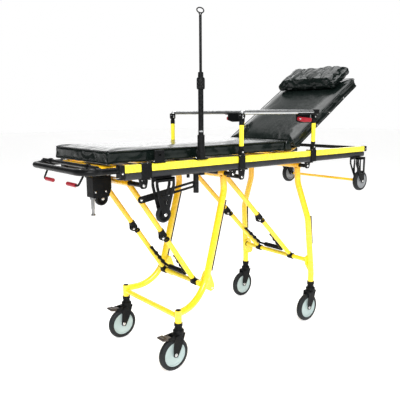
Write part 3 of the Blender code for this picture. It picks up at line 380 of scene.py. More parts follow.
def rod_beside(start, end, y, radius, sides=28):
    """A rod between two points of the trolley's side view, at one distance from the middle."""
    return rod((start.x, y, start.y), (end.x, y, end.y), radius, sides)


def prism(outline, plane, start, end):
    """Extrude a flat outline. plane names its two axes; start and end lie on the third."""
    place = {"XZ": lambda u, v, w: (u, w, v), "YZ": lambda u, v, w: (w, u, v),
             "XY": lambda u, v, w: (u, v, w)}[plane]
    bm = bmesh.new()
    near = [bm.verts.new(place(u, v, start)) for u, v in outline]
    far = [bm.verts.new(place(u, v, end)) for u, v in outline]
    bm.faces.new(near)
    bm.faces.new(far)
    for i in range(len(outline)):
        j = (i + 1) % len(outline)
        bm.faces.new((near[i], near[j], far[j], far[i]))
    return solid(bm)


def side_plate(outline, first, second):
    """An upright plate along the trolley between two values of Y, in either order."""
    return prism(outline, "XZ", *sorted((first, second)))


def box(low, high, bevel=0.0):
    """A box between two corners, with rounded edges."""
    bm = bmesh.new()
    bmesh.ops.create_cube(bm, size=1.0)
    low, high = Vector(map(min, low, high)), Vector(map(max, low, high))
    for vert in bm.verts:
        vert.co = Vector(((vert.co[k] + 0.5) * (high[k] - low[k]) + low[k] for k in range(3)))
    if bevel:
        bmesh.ops.bevel(bm, geom=bm.edges[:], offset=bevel, segments=4, profile=0.5, affect="EDGES")
    return solid(bm)


def mirrored(profile):
    """A wheel's half profile and its reflection in the wheel's middle plane."""
    return profile + [(radius, -height) for radius, height in reversed(profile)]


def turned(profile, base, direction, sides=48):
    """A solid of revolution from (radius, height) pairs; a profile that starts and ends at radius
    zero closes on the axis, and any other is a ring."""
    axis = Vector(direction).normalized()
    turn = Vector((0, 0, 1)).rotation_difference(axis)
    bm = bmesh.new()
    rings = []
    for radius, height in profile:
        if radius == 0:
            rings.append([bm.verts.new(Vector(base) + turn @ Vector((0, 0, height)))])
            continue
        angles = [2 * math.pi * k / sides for k in range(sides)]
        rings.append([bm.verts.new(Vector(base) + turn @ Vector((radius * math.cos(a),
                                                                 radius * math.sin(a), height)))
                      for a in angles])
    pairs = list(zip(rings, rings[1:]))
    if profile[0][0] > 0:
        pairs.append((rings[-1], rings[0]))
    for ring, following in pairs:
        for k in range(sides):
            nxt = (k + 1) % sides
            if len(ring) == 1:
                bm.faces.new((ring[0], following[k], following[nxt]))
            elif len(following) == 1:
                bm.faces.new((ring[k], ring[nxt], following[0]))
            else:
                bm.faces.new((ring[k], ring[nxt], following[nxt], following[k]))
    return solid(bm)


def upright(profile, x, y, sides=48):
    """A solid of revolution about a vertical axis; heights are measured from the floor."""
    return turned(profile, (x, y, 0), (0, 0, 1), sides)


def bolt(base, direction, radius, height):
    """Washer and domed bolt head that stands out of a face."""
    profile = [(0, -0.001), (radius, -0.001), (radius, height * 0.30),
               (radius * 0.72, height * 0.32), (radius * 0.70, height * 0.75),
               (radius * 0.45, height), (radius * 0.22, height), (radius * 0.20, height * 0.6),
               (0, height * 0.6)]
    return turned(profile, base, direction, 24)


def side_bolt(x, y, z, side, radius, height):
    """Bolt head that faces away from the middle of the trolley."""
    return bolt((x, side * y, z), (0, side, 0), radius, height)


def top_bolts(x, y, z, spread, radius, height):
    """Two bolt heads that face up, spread along the trolley about x."""
    return [bolt((x + dx, y, z), (0, 0, 1), radius, height) for dx in (-spread, spread)]


def cut(mesh, cutters):
    """A mesh with other meshes taken out of it."""
    base = bpy.data.objects.new("base", mesh)
    bpy.context.scene.collection.objects.link(base)
    others = []
    for cutter in cutters:
        other = bpy.data.objects.new("cutter", cutter)
        bpy.context.scene.collection.objects.link(other)
        modifier = base.modifiers.new("cut", "BOOLEAN")
        modifier.object = other
        modifier.solver = "EXACT"
        others.append(other)
    result = bpy.data.meshes.new_from_object(
        base.evaluated_get(bpy.context.evaluated_depsgraph_get()))
    for obj in [base, *others]:
        bpy.data.objects.remove(obj)
    return result


def bored_plate(outline, y, half, x, z, bore):
    """An upright plate about one plane, with a hole for a cross pin."""
    plate = prism(outline, "XZ", y - half, y + half)
    return cut(plate, [cross_rod(x, z, y - CUTTER_REACH, y + CUTTER_REACH, bore)])


# ---- Pieces ------------------------------------------------------------------------------------
def applied(obj):
    """Bake an object's modifiers into its mesh."""
    graph = bpy.context.evaluated_depsgraph_get()
    mesh = bpy.data.meshes.new_from_object(obj.evaluated_get(graph))
    obj.modifiers.clear()
    obj.data = mesh
    return obj


def part(name, body, finish, meshes, bevel=0.0008):
    """Join loose solids into one visible piece with eased edges that rides on a CAD body."""
    bm = bmesh.new()
    for mesh in meshes:
        bm.from_mesh(mesh)
        bpy.data.meshes.remove(mesh)
    bm.transform(Matrix.Translation((FOOT_X, 0, 0)))
    data = bpy.data.meshes.new(name)
    bm.to_mesh(data)
    bm.free()
    obj = bpy.data.objects.new(name, data)
    bpy.context.scene.collection.objects.link(obj)
    data.shade_smooth()
    if bevel:
        ease = obj.modifiers.new("ease", "BEVEL")
        ease.width = bevel
        ease.segments = 3
        ease.limit_method = "ANGLE"
        ease.angle_limit = math.radians(40)
        flat = obj.modifiers.new("flat", "WEIGHTED_NORMAL")
        flat.keep_sharp = True
        applied(obj)
    mat, slot = FINISHES[finish]
    obj.data.materials.clear()
    obj.data.materials.append(mat)
    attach(obj, body)
    return obj


def stand_in(node, groups, bevel=0.0008):
    """Visible pieces, one for each finish, that stand for a CAD node and ride on its body."""
    for finish, meshes in groups.items():
        obj = part(node + "_" + finish, BODY_OF[node], finish, meshes, bevel)
        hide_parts(node)


def fork_cheeks(outline, y):
    """Two equal plates on either side of a middle plane."""
    return [prism(outline, "XZ", y + s * CHEEK[0], y + s * CHEEK[1]) for s in (-1, 1)]


def pin_heads(x, z, y, half, radius, height=0.003):
    return [bolt((x, y + s * half, z), (0, s, 0), radius, height) for s in (-1, 1)]


def fork(outline, x, z, y, pin_radius, head_radius):
    """Two cheeks with their pin, and apart from them the pin's two heads."""
    plates = fork_cheeks(outline, y) + [cross_rod(x, z, y - CHEEK[1], y + CHEEK[1], pin_radius)]
    return plates, pin_heads(x, z, y, CHEEK[1], head_radius)


# ---- Chassis -----------------------------------------------------------------------------------
def side_rail(name, side):
    y = side * RAIL_Y
    stripe = prism(rectangle((y, RAIL_TOP - STRIPE_HEIGHT / 2), (RAIL_WIDTH, STRIPE_HEIGHT), 0.004),
                   "YZ", 0, RAIL_LENGTH)
    track = prism(rectangle((y, RAIL_BOTTOM + TRACK_HEIGHT / 2 + 0.0005),
                            (RAIL_WIDTH + 0.002, TRACK_HEIGHT + 0.001), 0.011),
                  "YZ", 0.001, RAIL_LENGTH - 0.001)
    low, high = RAIL_BOTTOM + 0.0015, RAIL_TOP + 0.0035
    black = [box((0.076, side * CLAMP_INNER_Y, low), (0.127, side * 0.2745, high), 0.003)]
    bright = top_bolts(0.1015, y, high - 0.0005, 0.0135, 0.004, 0.0025)
    for x in GUARD_X:
        black.append(box((x - 0.019, side * CLAMP_INNER_Y, low),
                         (x + 0.019, side * 0.2815, high), 0.003))
        plates, heads = fork(ear((x, GUARD_BASE_Z), (x, high - 0.002), EAR_R), x, GUARD_BASE_Z,
                             side * GUARD_Y, PIN_R, 0.0045)
        black += plates
        bright.append(box((x - 0.017, side * 0.2405, high - 0.001),
                          (x + 0.017, side * 0.2800, high + 0.0016), 0.0008))
        bright += heads
    stand_in(name, {"stripe": [stripe], "track": [track], "black": black, "bright": bright})


def foot_loop():
    corners = [(-GAP, -RAIL_Y, LOOP_Z), (LOOP_X, -RAIL_Y, LOOP_Z), (LOOP_X, RAIL_Y, LOOP_Z),
               (-GAP, RAIL_Y, LOOP_Z)]
    black = [sweep(bent_path(corners, [LOOP_BEND, LOOP_BEND]), LOOP_R, 32),
             cross_rod(INNER_BAR_X, INNER_BAR_Z, -RAIL_Y, RAIL_Y, INNER_BAR_R)]
    bright = []
    for side in SIDES.values():
        y = side * RAIL_Y
        black.append(box((-0.024, side * CLAMP_INNER_Y, RAIL_BOTTOM + 0.004),
                         (-GAP, side * 0.2735, RAIL_TOP + 0.002), 0.004))
        black.append(rod((INNER_BAR_X - 0.011, y, LOOP_Z + 0.002),
                         (INNER_BAR_X + 0.011, y, LOOP_Z + 0.002), LOOP_R + 0.0022))
        bright.append(box((-0.040, side * 0.2440, RAIL_BOTTOM + 0.012),
                          (-0.024, side * 0.2680, RAIL_BOTTOM + 0.015), 0.001))
        bright.append(side_bolt(-0.012, 0.2730, 0.938, side, 0.0045, 0.0020))
    stand_in("foot_loop", {"steel": black, "bright": bright})


def head_bar():
    x = RAIL_LENGTH + 0.014
    black = [cross_rod(x, DECK_Z, -0.268, 0.268, 0.0105)]
    bright = []
    for side in SIDES.values():
        black.append(box((RAIL_LENGTH + GAP, side * 0.240, RAIL_BOTTOM + 0.030),
                         (x + 0.012, side * 0.2715, RAIL_TOP + 0.001), 0.004))
        bright.append(side_bolt(x, 0.2710, DECK_Z, side, 0.0045, 0.0022))
    stand_in("head_bar", {"black": black, "bright": bright})


def deck_frame():
    corners = [(DECK_FOOT_X, -DECK_Y), (HINGE_X, -DECK_Y), (HINGE_X, DECK_Y), (DECK_FOOT_X, DECK_Y)]
    loop = [(x, y, DECK_Z) for x, y in rounded(corners, [0.060, 0.030, 0.030, 0.060])]
    yellow = [sweep(loop, DECK_R, 24, closed=True)]
    for x in DECK_SLATS_X:
        yellow.append(box((x - 0.026, -DECK_Y, DECK_Z + 0.0080),
                          (x + 0.026, DECK_Y, DECK_Z + 0.0135), 0.001))
    for x in (0.200, 0.880):
        yellow.append(cross_rod(x, DECK_Z, -0.2395, 0.2395, 0.007))
    steel = [cross_rod(*STRUT_BASE, -0.0165, 0.0165, 0.004)]
    for side in SIDES.values():
        lug = ear(STRUT_BASE, (HINGE_X, DECK_Z), 0.010)
        steel.append(side_plate(lug, side * 0.0105, side * 0.0145))
    bright = pin_heads(*STRUT_BASE, 0, 0.0145, 0.0055)
    stand_in("deck_frame", {"yellow": yellow, "steel": steel, "bright": bright})


def hanger(name, x, z):
    top = RAIL_BOTTOM - GAP
    steel = [cross_rod(x, z, -0.247, 0.247, AXLE_R)]
    bright = []
    for side in SIDES.values():
        outline = rounded([(x - 0.024, top), (x + 0.024, top), (x + 0.014, z - 0.014),
                           (x - 0.014, z - 0.014)], [0, 0, 0.010, 0.010])
        steel.append(prism(outline, "XZ", side * 0.2445, side * 0.2495))
        steel.append(box((x - 0.024, side * 0.2445, top - 0.005), (x + 0.024, side * 0.268, top)))
        bright.append(side_bolt(x, 0.2495, z, side, 0.0070, 0.0048))
        bright += [bolt((x + dx, side * 0.2580, top - 0.005), (0, 0, -1), 0.0040, 0.0030)
                   for dx in (-0.014, 0.014)]
    stand_in(name, {"steel": steel, "bright": bright})


LOAD_WINDOWS = [
    (0.004, [(-0.069, 0.128), (-0.066, 0.104), (-0.044, 0.066), (-0.036, 0.128)]),
    (0.004, [(-0.029, 0.128), (-0.026, 0.045), (-0.002, 0.045), (-0.001, 0.128)]),
]
FOOT_WINDOWS = [
    (0.004, [(-0.034, 0.140), (-0.032, 0.122), (-0.022, 0.080), (0.024, 0.080), (0.038, 0.122),
             (0.040, 0.140)]),
    (0.003, [(-0.012, 0.066), (-0.006, 0.042), (0.006, 0.042), (0.013, 0.066)]),
]


def wheel_plate(spec, top_half, windows, planes):
    """One cheek of a wheel bracket, from the rail down to the axle, with its windows cut out.
    A window is a rounding radius and corners measured from the axle."""
    x, z = spec["x"], spec["z"]
    top = RAIL_BOTTOM - GAP
    outline = rounded([(x - top_half[0], top), (x - top_half[0], top - 0.035),
                       (x - 0.013, z - 0.011), (x + 0.013, z - 0.011),
                       (x + top_half[1], top - 0.035), (x + top_half[1], top)],
                      [0, 0.008, 0.010, 0.010, 0.008, 0])
    openings = [rounded([(x + dx, z + dz) for dx, dz in corners], radius)
                for radius, corners in windows]
    return cut(prism(outline, "XZ", *planes),
               [prism(opening, "XZ", planes[0] - 0.01, planes[1] + 0.01) for opening in openings])


def wheel_bracket(name, spec, side, top_half, windows):
    y, half = side * spec["y"], spec["w"] / 2
    top = RAIL_BOTTOM - GAP
    inner, outer = half + BRACKET_FACES[0], half + BRACKET_FACES[1]
    steel = [box((spec["x"] - top_half[0], y - outer, top - 0.008),
                 (spec["x"] + top_half[1], y + outer, top)),
             cross_rod(spec["x"], spec["z"], y - outer, y + outer, 0.0045)]
    for s in (-1, 1):
        steel.append(wheel_plate(spec, top_half, windows, sorted((y + s * inner, y + s * outer))))
    bright = pin_heads(spec["x"], spec["z"], y, outer, 0.0078, 0.0038)
    stand_in(name, {"steel": steel, "bright": bright})


def fixed_wheel(name, spec, side, hub_finish):
    """Wheel of a fixed bracket: a tyre with rounded shoulders on a dished hub."""
    centre = (spec["x"], side * spec["y"], spec["z"])
    r, half = spec["r"], spec["w"] / 2
    seat = r * 0.76
    tyre = [(seat - 0.002, -half * 0.60), (seat, -half * 0.90), (r * 0.82, -half * 0.98),
            (r * 0.93, -half * 0.86), (r, -half * 0.45)]
    hub = [(0.0053, -half * 0.98), (0.0110, -half * 0.98), (0.0120, -half * 0.62),
           (r * 0.60, -half * 0.56), (r * 0.66, -half * 0.84), (seat, -half * 0.86)]
    stand_in(name, {"tyre": [turned(mirrored(tyre), centre, (0, 1, 0), 64)],
                    hub_finish: [turned(mirrored(hub), centre, (0, 1, 0), 64)]})


def load_wheel_axle():
    reach = LOAD_WHEEL["y"] - LOAD_WHEEL["w"] / 2 - BRACKET_FACES[1] - 0.004 - GAP
    tube = cross_rod(LOAD_WHEEL["x"], LOAD_WHEEL["z"], 0.006 - reach, reach - 0.006, 0.008)
    ends = [cross_rod(LOAD_WHEEL["x"], LOAD_WHEEL["z"],
                      *sorted((s * (reach - 0.014), s * reach)), 0.0088) for s in (-1, 1)]
    stand_in("load_wheel_axle", {"yellow": [tube], "black": ends})


def stay_arm():
    y = -0.218
    foot, head = (0.105, 0.813), (0.402, 0.856)
    slope = math.atan2(head[1] - foot[1], head[0] - foot[0])
    along = Vector((math.cos(slope), math.sin(slope)))
    start = Vector(foot) + along * 0.175
    end = Vector(foot) + along * 0.283
    half = Vector((-along.y, along.x)) * 0.0052
    slot = rounded([tuple(start - half), tuple(end - half), tuple(end + half), tuple(start + half)],
                   0.004)
    arm = cut(prism(ear(foot, head, 0.0150), "XZ", y - 0.0035, y + 0.0035),
              [prism(slot, "XZ", y - 0.02, y + 0.02)])
    x = head[0]
    steel = [arm, post(x, y, 0.814, 0.902, 0.0125),
             box((x - 0.014, y - 0.046, 0.8985), (x + 0.014, y + 0.010, RAIL_BOTTOM - GAP), 0.001),
             post(0.330, y - 0.034, 0.892, RAIL_BOTTOM - GAP, 0.007)]
    bright = [bolt((foot[0], y - 0.0035, foot[1]), (0, -1, 0), 0.0062, 0.0038),
              upright([(0, 0.8130), (0.0105, 0.8130), (0.0105, 0.8160), (0, 0.8160)], x, y)]
    stand_in("stay_arm", {"steel": steel, "bright": bright})


def lock_box():
    base = 0.812
    shell = prism(rounded([(-0.026, 0.904), (0.064, 0.904), (0.064, 0.850), (0.050, base),
                           (-0.026, base)], [0.004, 0.004, 0.012, 0.006, 0.004]),
                  "XZ", -0.046, 0.014)
    neck = box((-0.004, -0.034, 0.900), (0.048, 0.008, DECK_Z + 0.0080 - GAP))
    ribs = [box((-0.0268, -0.0466, z), (0.0500, 0.0146, z + 0.0022), 0.0008)
            for z in (0.826, 0.892)]
    bright = [bolt((x, -0.046, 0.838), (0, -1, 0), 0.0042, 0.0026) for x in (-0.014, 0.036)]
    stand_in("lock_box", {"black": [shell, neck, *ribs], "bright": bright})
    profile = [(0, 0.7270), (0.0088, 0.7270), (0.0100, 0.7285), (0.0100, 0.7330), (0.0065, 0.7370),
               (0.0065, 0.7560), (0.0078, 0.7580), (0.0078, 0.8000), (0.0120, 0.8010),
               (0.0120, base - GAP), (0, base - GAP)]
    stand_in("lock_pin", {"turned": [upright(profile, -0.006, 0)]}, bevel=0.0003)


def pole_socket():
    foot = box((POLE_X - 0.030, POLE_Y - 0.014, RAIL_TOP + GAP),
               (POLE_X + 0.030, POLE_Y + 0.0175, 0.977), 0.0015)
    sleeve = upright([(0.0126, 0.984), (0.0126, 1.078), (0.0152, 1.078), (0.0160, 1.0765),
                      (0.0160, 0.975), (0.0126, 0.975)], POLE_X, POLE_Y)
    webs = [box((POLE_X + s * 0.0150, POLE_Y - 0.004, 0.975),
                (POLE_X + s * 0.0215, POLE_Y + 0.004, 1.008), 0.001) for s in (-1, 1)]
    bright = top_bolts(POLE_X, POLE_Y + 0.006, 0.977, 0.0245, 0.0048, 0.0036)
    clamp = [rod((POLE_X, POLE_Y - 0.017, 1.060), (POLE_X, POLE_Y - 0.0135, 1.060), 0.006)]
    stand_in("pole_socket", {"black": [foot, sleeve, *webs, *clamp], "bright": bright})


def pole():
    tube = upright([(0.0080, 0.992), (0.0117, 0.992), (0.0117, 1.300), (0.0080, 1.300)],
                   POLE_X, POLE_Y, 36)
    ring = upright([(0.0110, 1.090), (0.0127, 1.090), (0.0127, 1.096), (0.0110, 1.096)],
                   POLE_X, POLE_Y, 36)
    stand_in("pole_outer_tube", {"steel": [tube], "alu": [ring]}, bevel=0.0004)
    profile = [(0.0125, 1.2730), (0.0160, 1.2730), (0.0176, 1.2770), (0.0176, 1.3180),
               (0.0150, 1.3220), (0.0120, 1.3230), (0.0115, 1.3430), (0.0105, 1.3450),
               (0.0072, 1.3450), (0.0072, 1.3010), (0.0125, 1.3010)]
    collar = [upright(profile, POLE_X, POLE_Y)]
    ribs = 18
    for k in range(ribs):
        a = 2 * math.pi * k / ribs
        spot = (POLE_X + 0.0170 * math.cos(a), POLE_Y + 0.0170 * math.sin(a))
        collar.append(post(*spot, 1.2800, 1.3150, 0.0010, 8))
    stand_in("pole_collar", {"black": collar}, bevel=0.0004)
    steel = [post(POLE_X, POLE_Y, 1.235, 1.578, 0.0060, 24)]
    centre_z, half_width, half_height = 1.5985, 0.0190, 0.0105
    hook = [(POLE_X + half_width * math.cos(a), POLE_Y, centre_z + half_height * math.sin(a))
            for a in (2 * math.pi * k / 48 for k in range(48))]
    steel.append(sweep(hook, 0.0026, 14, closed=True))
    for side in (-1, 1):
        steel.append(rod((POLE_X, POLE_Y, 1.574),
                         (POLE_X + side * 0.0090, POLE_Y, centre_z - 0.0090), 0.0026, 14))
    stand_in("pole_rod", {"steel": steel}, bevel=0.0004)


def spare_bracket():
    x = 0.165
    foot = box((x - 0.030, POLE_Y - 0.006, RAIL_TOP + GAP),
               (x + 0.030, POLE_Y + 0.0175, 0.976), 0.0015)
    plate = cut(box((x - 0.024, POLE_Y - 0.006, 0.974), (x + 0.024, POLE_Y + 0.004, 1.022), 0.002),
                [cross_rod(x, 1.002, POLE_Y - 0.03, POLE_Y + 0.03, 0.0065)])
    bright = top_bolts(x, POLE_Y + 0.010, 0.976, 0.020, 0.0048, 0.0036)
    stand_in("spare_bracket", {"black": [foot, plate], "bright": bright})


# ---- Backrest ----------------------------------------------------------------------------------
TILT = Matrix.Translation((HINGE_X, 0, DECK_Z)) @ Matrix.Rotation(-BACK_ANGLE, 4, "Y")


def tilt(mesh):
    """Move a mesh modelled flat, with the hinge at the origin, to the backrest's rest angle."""
    mesh.transform(TILT)
    return mesh


def backrest_frame():
    corners = [(0, -0.165, 0), (0.060, -0.190, 0), (0.628, -0.190, 0), (0.628, 0.190, 0),
               (0.060, 0.190, 0), (0, 0.165, 0)]
    yellow = [sweep(bent_path(corners, [0.05, 0.06, 0.06, 0.05]), 0.0110, 24)]
    bores = [(0.0123, 0.150), (0.0180, 0.150), (0.0180, 0.180), (0.0123, 0.180)]
    for side in SIDES.values():
        yellow.append(turned(bores, (0, 0, 0), (0, side, 0), 36))
    for s in BACK_SLATS_S:
        yellow.append(box((s - 0.030, -0.188, 0.0085), (s + 0.030, 0.188, 0.0140), 0.001))
    steel, bright = [], []
    for side in (-1, 1):
        steel.append(side_plate(ear(STRUT_TOP, (STRUT_TOP[0], 0.010), 0.011),
                                side * 0.0095, side * 0.0135))
        bright.append(side_bolt(STRUT_TOP[0], 0.0135, STRUT_TOP[1], side, 0.0062, 0.0034))
    groups = {"yellow": yellow, "steel": steel, "bright": bright}
    stand_in("backrest_frame", {finish: [tilt(m) for m in group]
                                for finish, group in groups.items()})


def strut_parts():
    base = Vector((STRUT_BASE[0], 0, STRUT_BASE[1]))
    top = TILT @ Vector((STRUT_TOP[0], 0, STRUT_TOP[1]))
    way = (top - base).normalized()
    tube = [(0.0056, 0.018), (0.0056, 0.112), (0.0094, 0.112), (0.0100, 0.1105), (0.0100, 0.018)]
    cap = [(0, 0.009), (0.0100, 0.009), (0.0100, 0.019), (0, 0.019)]
    barrel = [turned(tube, base, way), turned(cap, base, way)]
    eye = turned([(0.0048, -0.0085), (0.0090, -0.0085), (0.0090, 0.0085), (0.0048, 0.0085)],
                 base, (0, 1, 0))
    stand_in("strut_cylinder", {"steel": [*barrel, eye]}, bevel=0.0004)
    shaft = rod(base + way * 0.0600, top, 0.0045)
    head = cross_rod(top.x, top.z, -0.0075, 0.0075, 0.0080)
    stand_in("strut_rod", {"bright": [shaft, head]}, bevel=0.0004)


# ---- Guard rails -------------------------------------------------------------------------------
def guard_post(name, x, side):
    y = side * GUARD_Y
    low, high = GUARD_BASE_Z + 0.015, GUARD_TOP_Z - 0.015
    tube = post(x, y, low + 0.010, high - 0.012, GUARD_R)
    black = [post(x, y, low, low + 0.012, GUARD_R + 0.0008),
             post(x, y, high - 0.020, high, GUARD_R + 0.0008)]
    for z, end in ((GUARD_BASE_Z, low + 0.004), (GUARD_TOP_Z, high - 0.004)):
        black.append(bored_plate(ear((x, z), (x, end), 0.0095), y, TONGUE, x, z, PIN_R + RUNNING))
    stand_in(name, {"stripe": [tube], "black": black})


def guard_rail(name, side):
    """Top tube that turns down into the foot-side knuckle, with the lever's housing."""
    y = side * GUARD_Y
    first, second = GUARD_X
    path = bent_path([(first, y, GUARD_TOP_Z + 0.008), (first, y, GUARD_RAIL_Z),
                      (second + 0.026, y, GUARD_RAIL_Z)], [0.015])
    alu = [sweep(path, 0.0115, 32)]
    black, bright = [], []
    for x in GUARD_X:
        plates, heads = fork(ear((x, GUARD_TOP_Z), (x, GUARD_RAIL_Z - 0.004), EAR_R), x,
                             GUARD_TOP_Z, y, PIN_R, 0.0046)
        black += plates
        bright += heads
    black.append(post(first, y, GUARD_TOP_Z + 0.0125, GUARD_TOP_Z + 0.020, 0.0130))
    black.append(box((second - 0.015, y - 0.0130, GUARD_TOP_Z + 0.0125),
                     (second + 0.032, y + 0.0130, GUARD_RAIL_Z + 0.013), 0.004))
    plate = rounded([(1.040, 1.128), (1.075, 1.118), (1.150, 1.118), (1.156, 1.168),
                     (1.040, 1.168)], 0.004)
    black.append(side_plate(plate, y - side * 0.0118, y - side * 0.0082))
    black.append(box((1.036, y - 0.0120, 1.160), (1.160, y + 0.0120, 1.170), 0.002))
    black.append(cross_rod(*LEVER_PIN, y - side * 0.010, y + side * 0.009, 0.0035))
    bright.append(bolt((LEVER_PIN[0], y + side * 0.0085, LEVER_PIN[1]), (0, side, 0),
                       0.0048, 0.0022))
    stand_in(name, {"alu": alu, "black": black, "bright": bright})


def guard_lever(name, side):
    y = side * GUARD_Y
    outline = rounded([(1.044, 1.150), (1.044, 1.130), (1.085, 1.122), (1.148, 1.122),
                       (1.148, 1.142), (1.085, 1.147)],
                      [0.007, 0.007, 0.004, 0.006, 0.006, 0.004])
    blade = bored_plate(outline, y, 0.0075, *LEVER_PIN, 0.0043)
    stand_in(name, {"red": [blade]}, bevel=0.0022)


# ---- Folding legs ------------------------------------------------------------------------------
def ring_sleeve(x, z, side, start, end, bore, radius):
    """Short tube on a cross axle, on one side of the trolley."""
    profile = [(bore, start), (radius, start), (radius, end), (bore, end)]
    return turned(profile, (x, 0, z), (0, side, 0), 40)


def axle_tube(x, z, half, radius):
    """Bored tube across the middle of the trolley that turns on an axle."""
    bore = AXLE_R + RUNNING
    profile = [(bore, -half), (radius, -half), (radius, half), (bore, half)]
    return turned(profile, (x, 0, z), (0, 1, 0), 40)


def leg_sleeve(x, side):
    """Top end of a leg, which turns on the hanger's axle."""
    return ring_sleeve(x, PIVOT_Z, side, 0.158, 0.196, AXLE_R + RUNNING, LEG_R)


def leg_cable(start, end, square, y_start, y_end):
    """Black cable behind a leg, held by two clips. start and end lie on the leg's axis."""
    away = square * (LEG_R + 0.0080)
    first = Vector((start.x + away.x, y_start, start.y + away.y))
    last = Vector((end.x + away.x, y_end, end.y + away.y))
    meshes = [rod(first, last, 0.0042, 16)]
    for share in (0.03, 0.97):
        spot = first.lerp(last, share)
        base = spot - Vector((square.x, 0, square.y)) * 0.0095
        meshes.append(rod(base, spot, 0.0050, 16))
    return meshes


def rear_leg_frame():
    x, spread = REAR_STUB
    yellow, black, bright = [], [], []
    upper, lower = Vector((0.609, 0.800)), Vector((0.462, 0.268))
    along = (lower - upper).normalized()
    square = Vector((-along.y, along.x))
    for side in SIDES.values():
        yellow.append(leg_sleeve(REAR_LEG_X, side))
        corners = [(REAR_LEG_X, side * 0.180, PIVOT_Z - 0.013), (0.609, side * 0.180, 0.800),
                   (0.462, side * 0.183, 0.268), (x, side * spread, 0.264)]
        yellow.append(sweep(bent_path(corners, [0.120, 0.180]), LEG_R, 32))
        yellow.append(post(x, side * spread, STUB_BOTTOM + 0.012, 0.281, LEG_R, 32))
        black.append(post(x, side * spread, STUB_BOTTOM, 0.222, 0.0200, 32))
        plug = [(0, 0.280), (0.0120, 0.280), (0.0120, 0.2835), (0.0095, 0.2845), (0, 0.2845)]
        black.append(upright(plug, x, side * spread))
        fin = rounded([(0.4520, 0.366), (0.4520, 0.341), (0.476, 0.332), (0.530, 0.298),
                       (0.554, 0.306), (0.552, 0.334), (0.520, 0.418), (0.496, 0.400),
                       (0.482, 0.368)],
                      [0.008, 0.008, 0, 0.010, 0.010, 0.012, 0.010, 0, 0])
        inner = side * (REAR_CROSS_Y + GAP)
        yellow.append(side_plate(fin, inner, side * 0.1720))
        bright.append(side_bolt(0.538, 0.1720, 0.314, side, 0.0058, 0.0040))
        black += leg_cable(upper + along * 0.045, upper + along * 0.400, square,
                           side * 0.1805, side * 0.1825)
    yellow.append(cross_rod(x, 0.250, -spread, spread, BRACE_R))
    stand_in("rear_leg_frame", {"yellow": yellow, "black": black, "bright": bright})


def front_leg_frame():
    x, spread = FRONT_STUB
    yellow, black, bright = [], [], []
    yellow.append(axle_tube(FRONT_LEG_X, PIVOT_Z, 0.160, 0.0145))
    for side in SIDES.values():
        yellow.append(leg_sleeve(FRONT_LEG_X, side))
        corners = [(FRONT_LEG_X, side * 0.178, PIVOT_Z - 0.013), (1.164, side * 0.181, 0.785),
                   (1.174, side * 0.251, 0.592), (x, side * spread, 0.275),
                   (x, side * spread, STUB_BOTTOM + 0.010)]
        yellow.append(sweep(bent_path(corners, [0.120, 0.140, 0.100]), LEG_R, 32))
        black.append(post(x, side * spread, STUB_BOTTOM, 0.225, 0.0200, 32))
        fin = rounded([(1.168, 0.366), (1.174, 0.326), (1.202, 0.284), (1.232, 0.284),
                       (1.244, 0.304), (1.236, 0.340), (1.212, 0.384)],
                      [0.008, 0.008, 0.010, 0.008, 0.008, 0.012, 0.010])
        inner = side * (FRONT_CROSS_Y + GAP)
        yellow.append(side_plate(fin, inner, inner + side * 0.012))
        bright.append(bolt((1.228, inner + side * 0.012, 0.304), (0, side, 0), 0.0058, 0.0040))
        black += leg_cable(Vector((1.1770, 0.600)), Vector((1.1885, 0.440)), Vector((0.997, 0.074)),
                           side * 0.2500, side * 0.2560)
    stand_in("front_leg_frame", {"yellow": yellow, "black": black, "bright": bright})


BraceAxes = namedtuple("BraceAxes", "top foot knee along square")


def knee_axes(brace):
    """A brace's pins, and unit vectors along its tubes and square to them, towards the knee pin."""
    top, foot, knee = (Vector((*brace[k], 0)) for k in ("top", "foot", "knee"))
    along = (foot - top).normalized()
    square = Vector((along.y, -along.x, 0))
    if square.dot(knee - top) < 0:
        square = -square
    return BraceAxes(top.xy, foot.xy, knee.xy, along.xy, square.xy)


def on_tube(brace, distance):
    """Point of the tube's axis at a distance along it from the knee."""
    axes = knee_axes(brace)
    return axes.top + axes.along * ((axes.knee - axes.top).dot(axes.along) + distance)


def knee_outline(brace, points, radii):
    axes = knee_axes(brace)
    return rounded([tuple(axes.knee + axes.along * a + axes.square * b) for a, b in points], radii)


def upper_brace(name, brace):
    axes = knee_axes(brace)
    top, knee, along = axes.top, axes.knee, axes.along
    yellow = [axle_tube(top.x, top.y, 0.1385, 0.0155)]
    black, bright = [], []
    cap, socket = on_tube(brace, -0.036), on_tube(brace, -0.020)
    for side in SIDES.values():
        y = side * BRACE_Y
        yellow.append(rod_beside(top + along * 0.0125, socket - along * 0.004, y, BRACE_R))
        black.append(rod_beside(cap, socket, y, 0.0150, 36))
        cheek = knee_outline(brace, [(-0.030, -0.026), (0.004, -0.026), (0.011, -0.014),
                                     (0.011, 0.011), (-0.007, 0.011), (-0.024, 0),
                                     (-0.030, -0.002)],
                             [0, 0.004, 0.004, 0.009, 0.006, 0.003, 0])
        plates, heads = fork(cheek, *knee, y, 0.0042, 0.0064)
        black += plates
        bright += heads
    stand_in(name, {"yellow": yellow, "black": black, "bright": bright})


